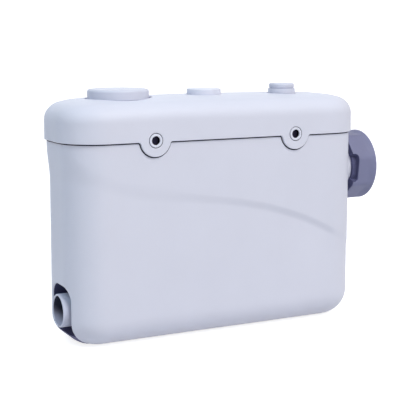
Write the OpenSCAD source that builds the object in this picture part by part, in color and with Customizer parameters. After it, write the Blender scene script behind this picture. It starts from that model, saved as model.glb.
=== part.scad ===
// Macerator toilet pump: a slim tank under a crowned lid, with three round fittings on top,
// a hose spigot in an alcove at the left end and a pipe union at the right end.
// Lengths are millimetres. X runs along the width, the front faces -Y, +Z is up.
// The origin is the middle of the tank's flat underside, just above the floor that the feet stand on.

/* [Casing] */
// Width of the lid, the widest moulding
case_w = 370; // [350:1:400]
// Depth of the lid
case_d = 120; // [118:1:140]
// Corner radius of the lid seen from above
case_r = 45; // [42:1:50]
// Height of the seam between tank and lid
seam_h = 221; // [216:1:250]
// Height of the lid's crown above the seam
lid_h = 46; // [43:1:56]
// Wall thickness of the tank and the lid
wall = 3; // [2.6:0.1:3.4]
// Thickness of the tank's floor
floor_t = 4; // [3.5:0.1:6]
// Rounding of the tank's bottom edge
base_r = 30; // [26:1:30]
// Rounding where the lid's wall turns into its top
lid_edge_r = 18; // [12:1:20]
// Radius of the lid's crown
crown_r = 100; // [80:1:140]
// Height of the tank rim that the lid covers
rim_h = 14; // [13:1:16]
// Clearance between the tank rim and the lid's skirt
skirt_gap = 0.3; // [0.2:0.05:0.5]

/* [Front step] */
// How far the upper wall stands proud at the left end
step_left_t = 3; // [2:0.1:4]
// How far the upper wall stands proud at the front and the back
step_front_t = 2; // [1:0.1:3]
// How far the upper wall stands proud at the right end
step_right_t = 0.6; // [0.4:0.1:2]
// Height of the step line at the left end
step_left_h = 198; // [185:1:205]
// Height of the step line at the middle
step_mid_h = 150; // [140:1:160]
// Height of the step line at the right end
step_right_h = 80; // [75:1:100]
// Fall of the step line across half the width, measured at the middle
step_fall = 31; // [20:1:40]

/* [Lid fastening] */
// Distance between the two screws on one side
screw_span = 175; // [150:1:200]
// Height of the screws above the seam
screw_rise = 1.5; // [0:0.1:3]
// Radius of the tab round each screw
tab_r = 20; // [17:0.5:22]
// How far a tab stands proud of the lid
tab_proud = 0.6; // [0.4:0.1:1]
// Outer diameter of a ferrule's rim
ferrule_d = 16; // [15:0.1:17]
// Diameter of a ferrule's shank
shank_d = 12.4; // [12:0.1:13]
// Bore of a ferrule
ferrule_bore = 9.7; // [9.3:0.1:10.2]
// Depth of a ferrule below the tab's face
ferrule_len = 15; // [13:0.1:17]
// Diameter of a lid screw's head
screw_head_d = 9; // [8:0.1:9.2]
// Diameter of a lid screw's thread
screw_d = 4.8; // [4:0.1:5]
// Length of a lid screw under its head
screw_len = 14; // [12:0.5:16]
// Thickness of the lid gasket
gasket_t = 3; // [2:0.1:4]

/* [Top fittings] */
// Distance of the outlet cap's axis from the lid's left end
outlet_inset = 79; // [74:1:84]
// Diameter of the outlet cap
outlet_d = 68; // [64:0.5:72]
// Height of the outlet cap above the crown
outlet_h = 8.5; // [7:0.5:12]
// Bore of the outlet port under its cap
port_d = 56; // [52:0.5:58]
// Diameter of the test button
button_d = 39; // [36:0.5:42]
// Height of the test button above the crown
button_h = 6.6; // [5.5:0.1:9]
// Travel of the test button
button_travel = 4; // [3:0.5:5]
// Distance of the vent cap's axis from the lid's right end
vent_inset = 86; // [80:1:92]
// How far the vent cap's axis lies in front of the lid's middle
vent_front = 8; // [4:1:10]
// Diameter of the vent cap's upper tier
vent_d = 29.4; // [27:0.2:31]
// Height of the vent cap above the crown
vent_h = 11.5; // [10:0.5:14]

/* [Side spigot] */
// Outer diameter of the hose spigot
spigot_d = 36.5; // [34:0.5:38]
// Wall of the hose spigot
spigot_wall = 2.2; // [1.8:0.1:3]
// Height of the spigot's axis above the tank's underside
spigot_h = 36.6; // [35:0.2:38]
// How far the spigot's axis lies in front of the tank's middle
spigot_front = 7; // [4:0.5:8]
// Width of the alcove round the spigot
alcove_w = 46; // [45:1:50]
// Height of the alcove's top above the tank's underside
alcove_h = 62.5; // [61:0.5:68]
// Radius of the alcove's upper corners
alcove_r = 15; // [12:1:20]
// Depth of the alcove from the tank's end
alcove_depth = 32; // [31:1:36]

/* [Pipe union] */
// Height of the union's axis above the tank's underside
union_h = 175.5; // [172:0.5:180]
// Outer diameter of the union nut
nut_d = 84; // [82:0.5:88]
// Distance across the union nut's flats
nut_flats = 79; // [76:0.5:81]
// Length of the union nut
nut_len = 31.5; // [30:0.5:36]
// Length of the round flange at the nut's outer end
nut_flange_len = 6; // [4:0.5:8]
// Outer diameter of the neck that carries the nut
neck_d = 62; // [58:0.5:66]
// Outer diameter of the pipe that the union takes
pipe_d = 50; // [46:0.5:52]

/* [Motor and pump] */
// Distance of the motor's axis from the middle
motor_x = 65; // [60:1:70]
// Outer diameter of the motor can
motor_d = 84; // [78:1:86]
// Height of the motor can
motor_h = 76; // [70:1:84]
// Diameter of the shaft
shaft_d = 10; // [8:0.5:11]
// Diameter of the rotor's core
rotor_d = 43; // [38:1:46]
// Outer diameter of the pump volute
volute_d = 84; // [80:1:88]
// Diameter of the impeller
impeller_d = 60; // [54:1:62]
// Outer diameter of the cutting basket
basket_d = 90; // [86:1:94]
// Height of the cutting basket
basket_h = 50; // [44:1:56]
// Outer diameter of the discharge pipe
outlet_pipe_d = 28; // [26:0.5:30]
// Wall of the discharge pipe
outlet_pipe_wall = 3; // [2:0.1:3.5]
// Outer diameter of the pressure tube
pressure_tube_d = 24; // [20:0.5:26]

/* [Feet and cable entry] */
// Diameter of a rubber foot
foot_d = 14; // [12:0.5:16]
// How far a foot stands below the tank
foot_h = 1.5; // [1:0.1:2]
// Bore of the cable gland
gland_bore = 7; // [6:0.1:8]

/* [Hidden] */
$fn = 96;

// Clearances
fit = 0.05;
clear = 0.3;
over = 1;

// Casing shells, each as width, depth and corner radius
lid_size = [case_w, case_d, case_r];
tank_inset = wall + skirt_gap;
function inset(size, by) = [size[0] - 2 * by, size[1] - 2 * by, size[2] - by];
rim_size = inset(lid_size, tank_inset);
body_size = [rim_size[0] - step_left_t - step_right_t, rim_size[1] - 2 * step_front_t,
  rim_size[2] - step_front_t];
body_shift = (step_left_t - step_right_t) / 2;
cavity_size = inset(body_size, wall);
rim_top = seam_h + rim_h;
ledge_z = rim_top + gasket_t;
ledge_t = 3;
crown_z = seam_h + lid_h;
crown_flat = 3;
front = case_d / 2;
inner_half_d = cavity_size[1] / 2;
inner_right = cavity_size[0] / 2 + body_shift;

// Step line on the tank's wall, a cubic through three heights with a given fall at the middle
step_bow = (step_left_h + step_right_h) / 2 - step_mid_h;
step_twist = (step_right_h - step_left_h) / 2 + step_fall;
function step_z(t) = step_mid_h - step_fall * t + step_bow * pow(t, 2) + step_twist * pow(t, 3);
step_points = 16;

// Lid screws and ferrules, measured inwards from the lid's face
screw_z = seam_h + screw_rise;
screw_xs = [-screw_span / 2, screw_span / 2];
tab_face = front + tab_proud;
ferrule_rim_t = 2.2;
ferrule_rim_proud = 0.4;
ferrule_recess = 1.2;
rim_seat = tab_face + ferrule_rim_proud - ferrule_rim_t;
ferrule_end = tab_face - ferrule_len;
ferrule_floor_t = 3;
screw_seat = ferrule_end + ferrule_floor_t;
screw_head_h = 4;
screw_end = screw_seat - screw_len;
boss_wall = 3;
boss_tip = 3;
boss_d = shank_d + 2 * boss_wall;
boss_end = screw_end - boss_tip;

// Top fittings
outlet_x = case_w / 2 - outlet_inset;
vent_x = case_w / 2 - vent_inset;
vent_y = -vent_front;
spot_gap = 3;
outlet_spot_depth = 3;
outlet_floor_z = crown_z - outlet_spot_depth;
port_pad_t = 3;
port_wall = 3;
port_gap = 2;
port_end_z = ledge_z + port_gap;
plug_d = port_d - 2 * clear;
plug_len = 14;
plug_wall = 5;
outlet_edge = 4;
ring_section = 3;
ring_rise = 4;
ring_z = outlet_floor_z - plug_len + ring_rise;
well_wall = 2.5;
well_depth = 14;
well_floor_t = 2;
well_floor_z = crown_z - well_depth;
button_sink = 5;
button_top_t = 3.3;
button_wall = 3;
stem_d = 10;
tip_d = 6;
clip_d = 16;
clip_t = 1.2;
spring_d = 20;
spring_wire = 1.6;
spring_turns = 6;
vent_spot_depth = 3;
vent_floor_z = crown_z - vent_spot_depth;
vent_skirt_step = 2.1;
vent_skirt_d = vent_d + vent_skirt_step;
vent_skirt_h = 7;
vent_groove = 0.8;
vent_edge = 2;
vent_neck_bore = 18;
vent_ledge = 3;
vent_throat_d = vent_neck_bore - 2 * vent_ledge;
vent_neck_wall = 3;
vent_neck_len = 18;
vent_plug_len = 9;
filter_h = 8;
filter_ledge = 2;

// Side spigot and its flap
body_end = body_shift - body_size[0] / 2;
alcove_back = body_end + alcove_depth;
spigot_proud = 3.2;
spigot_y = -spigot_front;
spigot_mouth = body_end - spigot_proud;
spigot_bore = spigot_d - 2 * spigot_wall;
spigot_seal_t = 1.5;
spigot_step = 0.8;
spigot_flange_rim = 5;
spigot_shank_d = spigot_d + 2 * spigot_step;
spigot_flange_d = spigot_d + 2 * spigot_flange_rim;
spigot_flange_t = 3;
flange_x = alcove_back + wall + spigot_seal_t;
flange_end = flange_x + spigot_flange_t;
flap_t = 2.5;
flap_lap = 2.5;
flap_d = spigot_bore + 2 * flap_lap;
flap_pin_d = 3;
flap_knuckle_wall = 1.2;
flap_knuckle_d = flap_pin_d + 2 * flap_knuckle_wall;
flap_pin_h = spigot_h + (spigot_flange_d + flap_knuckle_d) / 2 + clear;
flap_pin_x = flange_end + clear + flap_t / 2;
ear_gap = 14;
ear_t = 4;

// Pipe union, from the tank's right wall outwards
pipe_play = 1;
lip_play = 4;
neck_bore = pipe_d + pipe_play;
lip_bore = pipe_d + lip_play;
wall_right = rim_size[0] / 2;
nut_gap = 1.5;
nut_start = wall_right + nut_gap;
nut_end = nut_start + nut_len;
nut_lip_t = 3.5;
washer_t = 2;
seal_t = 4;
neck_end = nut_end - nut_lip_t - clear - washer_t - seal_t;
nut_sides = 8;
nut_turn = 7;
slot_count = 4;
slot_w = 33;
slot_depth = 6.5;
ring_t = 3.5;
slot_floor_r = neck_d / 2 + ring_t;
ring_setback = 1;

// Deck, motor and pump, the deck hung from the seam and the pump stood on the floor
deck_t = 4;
deck_drop = 25;
deck_top = seam_h - deck_drop;
deck_z = deck_top - deck_t;
deck_left = 123;
deck_right = 65;
deck_play = 0.5;
deck_x0 = motor_x - deck_left;
deck_x1 = motor_x + deck_right;
deck_half_d = inner_half_d - deck_play;
lug_inset = 10;
lug_w = 14;
lug_h = 10;
lug_reach = 10;
deck_screw_d = 3.4;
deck_screw_len = 10;
deck_head_d = 7;
deck_head_h = 2.5;
lug_xs = [deck_x0 + lug_inset, deck_x1 - lug_inset];
lug_y = inner_half_d - lug_reach / 2;

can_wall = 2.5;
can_z = deck_z - motor_h;
can_flange_rim = 7;
flange_d = motor_d + 2 * can_flange_rim;
can_flange_t = 4;
motor_screw_pcd = flange_d - can_flange_rim;
bearing_d = 26;
bearing_h = 8;
seal_d = 22;
shaft_seal_h = 5;
bearing_boss_wall = 4;
bearing_gap = 1;
shaft_play = 2;
bearing_boss_d = bearing_d + 2 * bearing_boss_wall;
shaft_room_d = shaft_d + 2 * shaft_play;
lower_bearing_z = can_z + shaft_seal_h + bearing_gap;
winding_z = lower_bearing_z + bearing_h;
winding_h = 12;
stator_z = winding_z + winding_h;
winding_gap = 2;
air_gap = 0.5;
winding_play = 3;
stator_h = motor_h - (stator_z - can_z) - winding_h - winding_gap;
stator_d = motor_d - 2 * can_wall - 2 * fit;
stator_bore = rotor_d + 2 * air_gap;
upper_boss_h = 14;
upper_bearing_z = deck_z - upper_boss_h;
shaft_top = upper_bearing_z + bearing_h + bearing_gap;

pump_foot_h = 10;
pump_foot_d = 40;
pump_z = floor_t + pump_foot_h;
pump_plate_t = 4;
impeller_gap = 4;
chamber_d = impeller_d + 2 * impeller_gap;
chamber_h = 26;
chamber_z = pump_z + pump_plate_t;
pump_top = chamber_z + chamber_h + pump_plate_t;
pump_eye_d = 34;
outlet_pipe_z = chamber_z + chamber_h / 2;
socket_wall = 3;
socket_len = 12;
pipe_stop = motor_x - volute_d / 2;
impeller_nut_h = 6;
impeller_nut_d = 16;
shaft_gap = 2;
shaft_bottom = chamber_z + shaft_gap;
impeller_z = shaft_bottom + impeller_nut_h;
impeller_disc_t = 3;
vane_h = 10;
vane_count = 5;
hub_wall = 4;
hub_d = shaft_d + 2 * hub_wall;
basket_wall = 3;
basket_slot_w = 6;
basket_slots = 16;
basket_rim = 8;
basket_lip_t = 2;
basket_lip_h = 4;
cutter_rise = 16;
cutter_gap = 4;
cutter_z = pump_top + cutter_rise;
cutter_hub_h = 12;
cutter_t = 3;
cutter_w = 10;
cutter_span = basket_d - 2 * basket_wall - 2 * cutter_gap;

// Discharge line, up to the outlet port
riser_shift = 12;
riser_x = riser_shift - outlet_x;
elbow_r = 24;
elbow_tail = 8;
valve_z = outlet_pipe_z + elbow_r + elbow_tail;
valve_rim = 8;
valve_w = outlet_pipe_d + 2 * valve_rim;
valve_wall = 3;
valve_h = 52;
valve_plate = 6;
valve_socket = 4;
seat_step = 1;
seat_d = outlet_pipe_d - 2 * outlet_pipe_wall + 2 * seat_step;
valve_room = valve_w - 2 * valve_wall;
check_t = 3;
check_gap = 3;
check_w = valve_room - 2 * check_gap;
check_pin_d = 3;
check_pin_inset = 4;
check_pin_rise = 4.3;
check_pin_x = riser_x - valve_room / 2 + check_pin_inset;
check_pin_z = valve_z + valve_plate + check_pin_rise;
riser_flange_t = 4;

// Level sensing
pressure_inset = 20;
pressure_x = deck_x0 + pressure_inset;
pressure_tube_z = valve_z;
pressure_nipple_d = 10;
pressure_nipple_len = 6;
pressure_way_d = 5;
pressure_wall = 2;
switch_d = 36;
switch_h = 20;
plunger_d = 6;
plunger_plate_d = 28;
plunger_plate_t = 2;
plunger_travel = 2;
switch_base_t = 9;
plunger_gap = 1;
plunger_proud = 4;
switch_room_z = deck_top + switch_base_t;
switch_room_h = plunger_plate_t + plunger_travel + 2 * plunger_gap;
plunger_top = deck_top + switch_h + plunger_proud;
micro_t = 8;
micro_w = 20;
leaf_w = 6;
leaf_t = 0.8;

// Electrics on the deck
capacitor_d = 34;
capacitor_len = 60;
capacitor_gap = 2;
capacitor_z = deck_top + capacitor_gap + capacitor_d / 2;
saddle_w = 24;
saddle_h = 8;
terminal_inset = 25;
terminal_x = deck_x1 - terminal_inset;
terminal_size = [14, 44, 16];
terminal_pitch = 11;
terminal_well_d = 6;
terminal_well_h = 10;
test_switch_w = 22;
stem_rise = 42;
tip_rise = 30;
test_switch_h = 36;
stem_end = deck_top + stem_rise;
tip_end = deck_top + tip_rise;

// Feet and cable gland
foot_x = 130;
foot_y = 14;
foot_sink = 2;
gland_x = 20;
gland_wall = 2.5;
gland_shoulder = 3;
gland_drop = 3;
gland_thread_d = gland_bore + 2 * gland_wall;
gland_body_d = gland_thread_d + 2 * gland_shoulder;
gland_z = seam_h - gland_body_d / 2 - gland_drop;
gland_out = 12;
gland_nut_t = 4;
tank_back = rim_size[1] / 2;

plastic = "lavender";
nut_grey = "slategray";
rubber = "dimgray";
steel = "silver";
copper = "peru";

module tube(od, id, h) {
  difference() {
    cylinder(d = od, h = h);
    translate([0, 0, -over]) cylinder(d = id, h = h + 2 * over);
  }
}

// A cylinder along +X or along +Y
module rod_x(d, h) {
  rotate([0, 90, 0]) cylinder(d = d, h = h);
}

module rod_y(d, h) {
  rotate([-90, 0, 0]) cylinder(d = d, h = h);
}

// A half profile carried round a rounded rectangle: children are the profile, with x from the
// corner's axis out to the corner radius and y up from z0 to z1
module carried(size, z0, z1) {
  run_x = size[0] - 2 * size[2];
  run_y = size[1] - 2 * size[2];
  for (k = [0 : 3]) {
    sx = k == 0 || k == 3 ? 1 : -1;
    sy = k < 2 ? 1 : -1;
    translate([sx * run_x / 2, sy * run_y / 2, 0]) rotate(90 * k) rotate_extrude(angle = 90) children();
  }
  for (turn = [0, 180]) rotate(turn) {
    translate([-run_x / 2, run_y / 2, 0]) rotate([90, 0, 90]) linear_extrude(run_x) children();
    translate([run_x / 2, run_y / 2, 0]) rotate([90, 0, 0]) linear_extrude(run_y) children();
  }
  translate([-run_x / 2, -run_y / 2, z0]) cube([run_x, run_y, z1 - z0]);
}

module upright_block(size, z0, z1) {
  carried(size, z0, z1) translate([0, z0]) square([size[2], z1 - z0]);
}

// A tub whose bottom edge is rounded
module tub(size, z0, z1, edge) {
  carried(size, z0, z1) difference() {
    translate([0, z0]) square([size[2], z1 - z0]);
    difference() {
      translate([size[2] - edge, z0 - over]) square([edge + over, edge + over]);
      translate([size[2] - edge, z0 + edge]) circle(edge);
    }
  }
}

// The lid's dome: a wall, an edge arc and a crown arc that turns level just outside the corner axes
module dome(by) {
  size = inset(lid_size, by);
  r = size[2];
  edge = lid_edge_r - by;
  crown = crown_r - by;
  top = crown_z - by;
  crown_c = [crown_flat, top - crown];
  reach = crown - edge;
  edge_c = [r - edge, crown_c[1] + sqrt(pow(reach, 2) - pow(r - edge - crown_flat, 2))];
  outward = (edge_c - crown_c) / reach;
  carried(size, seam_h, top) difference() {
    intersection() {
      translate([0, seam_h]) square([r, top - seam_h]);
      union() {
        translate(crown_c) circle(crown, $fn = 360);
        translate([0, seam_h]) square([crown_flat, top - seam_h]);
      }
    }
    difference() {
      polygon([edge_c, edge_c + outward * 2 * edge, [r + over, top + over], [r + over, edge_c[1]]]);
      translate(edge_c) circle(edge);
    }
  }
}

// The part of the wall above the step line, as a prism across the depth
module step_prism() {
  half = case_w / 2;
  line = [for (i = [0 : step_points]) let (t = 2 * i / step_points - 1) [t * half, step_z(t)]];
  translate([0, case_d / 2, 0]) rotate([90, 0, 0]) linear_extrude(case_d)
    polygon(concat(line, [[half, rim_top], [-half, rim_top]]));
}

// A passage along X about the spigot, from a given level up to a top with two rounded corners
module passage(w, h, r, x0, x1, z0) {
  translate([x0, spigot_y, 0]) rotate([90, 0, 90]) linear_extrude(x1 - x0) {
    for (side = [-1, 1]) translate([side * (w / 2 - r), h - r]) circle(r);
    translate([r - w / 2, z0]) square([w - 2 * r, h - z0]);
    translate([-w / 2, z0]) square([w, h - r - z0]);
  }
}

// Puts its children at the four lid screws, with +Y pointing out of the lid
module at_lid_screws() {
  for (x = screw_xs, turn = [0, 180]) rotate(turn) translate([x, 0, screw_z]) children();
}

module at_deck_lugs() {
  for (x = lug_xs, side = [-1, 1]) translate([x, side * lug_y, 0]) children();
}

module at_motor_screws() {
  for (a = [45 : 90 : 315]) translate([motor_x, 0, 0]) rotate(a) translate([motor_screw_pcd / 2, 0, 0])
    children();
}

module at_feet() {
  for (x = [-foot_x, foot_x], y = [-foot_y, foot_y]) translate([x, y, 0]) children();
}

// The tank's room, less the alcove's housing, the screw bosses and the lugs that carry the deck
module tank_room() {
  difference() {
    translate([body_shift, 0, 0]) tub(cavity_size, floor_t, rim_top + over, base_r - wall);
    passage(alcove_w + 2 * wall, alcove_h + wall, alcove_r + wall, -case_w, alcove_back + wall, -over);
    at_lid_screws() translate([0, boss_end, 0]) rod_y(boss_d, case_d);
    at_deck_lugs() translate([-lug_w / 2, -lug_reach / 2 - over, deck_z - lug_h])
      cube([lug_w, lug_reach + 2 * over, lug_h]);
  }
}

module tank_outside() {
  translate([body_shift, 0, 0]) tub(body_size, 0, rim_top, base_r);
  intersection() {
    tub(rim_size, 0, rim_top, base_r);
    step_prism();
  }
  translate([inner_right + over, 0, union_h]) rod_x(neck_d, neck_end - inner_right - over);
}

module tank() {
  color(plastic) difference() {
    tank_outside();
    tank_room();
    passage(alcove_w, alcove_h, alcove_r, -case_w, alcove_back, -over);
    translate([alcove_back - over, spigot_y, spigot_h]) rod_x(spigot_shank_d + 2 * fit, wall + 2 * over);
    translate([inner_right - 2 * wall, 0, union_h]) rod_x(neck_bore, case_w);
    at_lid_screws() {
      translate([0, ferrule_end, 0]) rod_y(shank_d + 2 * fit, case_d);
      translate([0, screw_end - 1, 0]) rod_y(screw_d + 2 * fit, screw_len);
    }
    at_deck_lugs() translate([0, 0, deck_z - lug_h - over])
      cylinder(d = deck_screw_d + 2 * fit, h = lug_h + 2 * over);
    at_feet() translate([0, 0, -over]) cylinder(d = foot_d, h = foot_sink + over);
    translate([gland_x, inner_half_d - over, gland_z]) rod_y(gland_thread_d + 2 * fit, case_d);
  }
}

module lid_additions() {
  intersection() {
    dome(0);
    union() {
      difference() {
        upright_block(inset(lid_size, wall / 2), ledge_z, ledge_z + ledge_t);
        translate([body_shift, 0, 0]) upright_block(cavity_size, ledge_z - over, ledge_z + ledge_t + over);
      }
      translate([-outlet_x, 0, outlet_floor_z - port_pad_t])
        cylinder(d = outlet_d + 2 * spot_gap + 2, h = port_pad_t);
      translate([-outlet_x, 0, port_end_z])
        cylinder(d = port_d + 2 * port_wall, h = outlet_floor_z - port_end_z);
      translate([0, 0, well_floor_z - well_floor_t])
        cylinder(d = button_d + 2 * clear + 2 * well_wall, h = well_depth + well_floor_t - wall / 2);
      translate([vent_x, vent_y, vent_floor_z - wall]) cylinder(d = vent_skirt_d + 2 * spot_gap, h = wall);
      translate([vent_x, vent_y, vent_floor_z - vent_neck_len])
        cylinder(d = vent_neck_bore + 2 * vent_neck_wall, h = vent_neck_len);
    }
  }
  at_lid_screws() translate([0, front - wall, 0]) rod_y(2 * tab_r, wall + tab_proud);
}

module lid() {
  color(plastic) difference() {
    union() {
      difference() {
        dome(0);
        dome(wall);
        upright_block(inset(lid_size, wall), seam_h - over, seam_h + over);
      }
      lid_additions();
    }
    translate([-outlet_x, 0, outlet_floor_z]) cylinder(d = outlet_d + 2 * spot_gap, h = lid_h);
    translate([-outlet_x, 0, port_end_z - over]) cylinder(d = port_d, h = lid_h);
    translate([0, 0, well_floor_z]) cylinder(d = button_d + 2 * clear, h = lid_h);
    translate([0, 0, well_floor_z - well_floor_t - over]) cylinder(d = stem_d + 2 * fit, h = lid_h);
    translate([vent_x, vent_y, vent_floor_z]) cylinder(d = vent_skirt_d + spot_gap, h = lid_h);
    translate([vent_x, vent_y, vent_floor_z - vent_neck_len + filter_ledge])
      cylinder(d = vent_neck_bore, h = lid_h);
    translate([vent_x, vent_y, vent_floor_z - vent_neck_len - over]) cylinder(d = vent_throat_d, h = lid_h);
    at_lid_screws() {
      translate([0, front - wall - over, 0]) rod_y(shank_d + 2 * fit, case_d);
      translate([0, rim_seat, 0]) rod_y(ferrule_d + ferrule_recess, case_d);
    }
  }
}

module lid_gasket() {
  color(rubber) difference() {
    upright_block(rim_size, rim_top, ledge_z);
    translate([body_shift, 0, 0]) upright_block(cavity_size, rim_top - over, ledge_z + over);
  }
}

module lid_screws() {
  color(steel) at_lid_screws() difference() {
    union() {
      translate([0, screw_end, 0]) rod_y(screw_d, screw_len);
      translate([0, screw_seat, 0]) rod_y(screw_head_d, screw_head_h);
    }
    for (a = [0, 90]) rotate([0, a, 0])
      translate([-screw_head_d / 4, screw_seat + screw_head_h - 2, -0.6])
        cube([screw_head_d / 2, 2 + over, 1.2]);
  }
}

module screw_ferrules() {
  color(plastic) at_lid_screws() difference() {
    union() {
      translate([0, ferrule_end, 0]) rod_y(shank_d, ferrule_len);
      translate([0, rim_seat, 0]) rod_y(ferrule_d, ferrule_rim_t);
    }
    translate([0, screw_seat, 0]) rod_y(ferrule_bore, case_d);
    translate([0, ferrule_end - over, 0]) rod_y(screw_d + 2 * fit, case_d);
  }
}

module outlet_cap() {
  base = outlet_floor_z + clear;
  top = crown_z + outlet_h;
  color(plastic) translate([-outlet_x, 0, 0]) difference() {
    union() {
      translate([0, 0, base]) cylinder(d = outlet_d, h = top - base - outlet_edge);
      translate([0, 0, top - outlet_edge - over])
        cylinder(d = outlet_d - 2 * outlet_edge, h = outlet_edge + over);
      translate([0, 0, top - outlet_edge])
        rotate_extrude() translate([outlet_d / 2 - outlet_edge, 0]) circle(outlet_edge);
      translate([0, 0, base - plug_len]) cylinder(d = plug_d, h = plug_len + over);
    }
    translate([0, 0, base - plug_len - over]) cylinder(d = plug_d - 2 * plug_wall, h = plug_len + over);
    translate([0, 0, ring_z]) rotate_extrude() translate([port_d / 2 - fit - ring_section / 2, 0])
      circle(d = ring_section);
  }
}

module outlet_cap_ring() {
  color(rubber) translate([-outlet_x, 0, ring_z]) rotate_extrude()
    translate([port_d / 2 - fit - ring_section / 2, 0]) circle(d = ring_section);
}

module test_button() {
  base = crown_z - button_sink;
  top = crown_z + button_h;
  color(plastic) {
    difference() {
      translate([0, 0, base]) cylinder(d = button_d, h = top - base);
      translate([0, 0, base - over])
        cylinder(d = button_d - 2 * button_wall, h = top - button_top_t - base + over);
    }
    translate([0, 0, stem_end]) cylinder(d = stem_d, h = top - button_top_t / 2 - stem_end);
    translate([0, 0, tip_end]) cylinder(d = tip_d, h = stem_end - tip_end + over);
  }
}

module button_clip() {
  color(steel) translate([0, 0, well_floor_z - well_floor_t - clear - clip_t])
    tube(clip_d, stem_d, clip_t);
}

// A six-sided wire swept round a helix, with level ends
module button_spring() {
  steps = 12;
  sides = 6;
  rings = spring_turns * steps + 1;
  low = well_floor_z + clear + spring_wire / 2;
  high = crown_z + button_h - button_top_t - clear - spring_wire / 2;
  points = [for (i = [0 : rings - 1], j = [0 : sides - 1])
    let (a = 360 * i / steps, b = 360 * j / sides,
      r = (spring_d - spring_wire) / 2 + spring_wire / 2 * cos(b))
    [r * cos(a), r * sin(a), low + (high - low) * i / (rings - 1) + spring_wire / 2 * sin(b)]];
  skin = [for (i = [0 : rings - 2], j = [0 : sides - 1])
    let (a = i * sides + j, b = i * sides + (j + 1) % sides)
    each [[a, b, b + sides], [a, b + sides, a + sides]]];
  ends = [for (j = [1 : sides - 2]) each [[0, j + 1, j],
    [(rings - 1) * sides, (rings - 1) * sides + j, (rings - 1) * sides + j + 1]]];
  color(steel)
    polyhedron(points, concat([for (f = skin) [f[2], f[1], f[0]]], [for (f = ends) [f[2], f[1], f[0]]]));
}

module vent_cap() {
  base = vent_floor_z + clear;
  top = crown_z + vent_h;
  color(plastic) translate([vent_x, vent_y, 0]) difference() {
    union() {
      translate([0, 0, base]) cylinder(d = vent_skirt_d, h = vent_skirt_h);
      translate([0, 0, base]) cylinder(d = vent_d - 2 * vent_groove, h = vent_skirt_h + 2 * vent_groove);
      translate([0, 0, base + vent_skirt_h + vent_groove])
        cylinder(d = vent_d, h = top - vent_edge - base - vent_skirt_h - vent_groove);
      translate([0, 0, top - vent_edge - over]) cylinder(d = vent_d - 2 * vent_edge, h = vent_edge + over);
      translate([0, 0, top - vent_edge])
        rotate_extrude() translate([vent_d / 2 - vent_edge, 0]) circle(vent_edge);
      translate([0, 0, base - vent_plug_len])
        cylinder(d = vent_neck_bore - 2 * fit, h = vent_plug_len + over);
    }
    translate([0, 0, base - vent_plug_len - over])
      cylinder(d = vent_throat_d, h = vent_plug_len + vent_skirt_h);
  }
}

module vent_filter() {
  color("black") translate([vent_x, vent_y, vent_floor_z - vent_neck_len + filter_ledge])
    cylinder(d = vent_neck_bore - 2 * fit, h = filter_h - over);
}

module side_spigot() {
  color(plastic) translate([0, spigot_y, spigot_h]) difference() {
    union() {
      translate([spigot_mouth, 0, 0]) rod_x(spigot_d, flange_end - spigot_mouth);
      translate([alcove_back, 0, 0]) rod_x(spigot_shank_d, flange_end - alcove_back);
      translate([flange_x, 0, 0]) rod_x(spigot_flange_d, spigot_flange_t);
      for (side = [-1, 1]) translate([flange_x, side * (ear_gap + ear_t) / 2 - ear_t / 2, 0])
        cube([flap_pin_x - flange_x + 0.8 * flap_pin_d, ear_t, flap_pin_h - spigot_h + 0.8 * flap_pin_d]);
    }
    translate([spigot_mouth - over, 0, 0]) rod_x(spigot_bore, flange_end - spigot_mouth + 2 * over);
    translate([flange_end, -case_d / 2, -spigot_flange_d])
      cube([case_d, case_d, spigot_flange_d + flap_d / 2 + clear]);
    translate([flap_pin_x, -case_d / 2, flap_pin_h - spigot_h]) rod_y(flap_pin_d + 2 * fit, case_d);
  }
}

module spigot_seal() {
  color(rubber) translate([alcove_back + wall, spigot_y, spigot_h]) rotate([0, 90, 0])
    tube(spigot_flange_d, spigot_shank_d + 2 * fit, spigot_seal_t);
}

module inlet_flap() {
  knuckle_w = ear_gap - 2 * clear;
  color(rubber) translate([0, spigot_y, 0]) difference() {
    union() {
      translate([flange_end + clear, 0, spigot_h]) rod_x(flap_d, flap_t);
      translate([flange_end + clear, -knuckle_w / 2, spigot_h])
        cube([flap_t, knuckle_w, flap_pin_h - spigot_h]);
      translate([flap_pin_x, -knuckle_w / 2, flap_pin_h]) rod_y(flap_knuckle_d, knuckle_w);
    }
    translate([flap_pin_x, -knuckle_w, flap_pin_h]) rod_y(flap_pin_d + 2 * fit, 2 * knuckle_w);
  }
}

module inlet_flap_pin() {
  span = ear_gap + 2 * ear_t;
  color(steel) translate([flap_pin_x, spigot_y - span / 2, flap_pin_h]) rod_y(flap_pin_d, span);
}

module union_nut() {
  corners_d = nut_flats / cos(180 / nut_sides);
  color(nut_grey) translate([nut_start, 0, union_h]) rotate([nut_turn, 0, 0]) difference() {
    union() {
      intersection() {
        rotate([0, 90, 0]) rotate(180 / nut_sides)
          cylinder(d = corners_d, h = nut_len - over, $fn = nut_sides);
        rod_x(nut_d, nut_len);
      }
      translate([nut_len - nut_flange_len, 0, 0]) rod_x(nut_d, nut_flange_len);
    }
    translate([-over, 0, 0]) rod_x(neck_d + 2 * fit, nut_len - nut_lip_t + over);
    rod_x(lip_bore, nut_len + over);
    for (k = [0 : slot_count - 1]) rotate([360 / slot_count * k - nut_turn, 0, 0]) {
      translate([-over, -slot_w / 2, slot_floor_r]) cube([slot_depth + over, slot_w, nut_d]);
      translate([-over, -slot_w / 2, 0]) cube([ring_setback + over, slot_w, nut_d]);
    }
  }
}

module cone_seal() {
  color(rubber) translate([neck_end, 0, union_h]) rotate([0, 90, 0])
    tube(neck_d, lip_bore, seal_t);
}

module slip_washer() {
  color(plastic) translate([neck_end + seal_t, 0, union_h]) rotate([0, 90, 0])
    tube(neck_d, lip_bore, washer_t);
}

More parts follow.
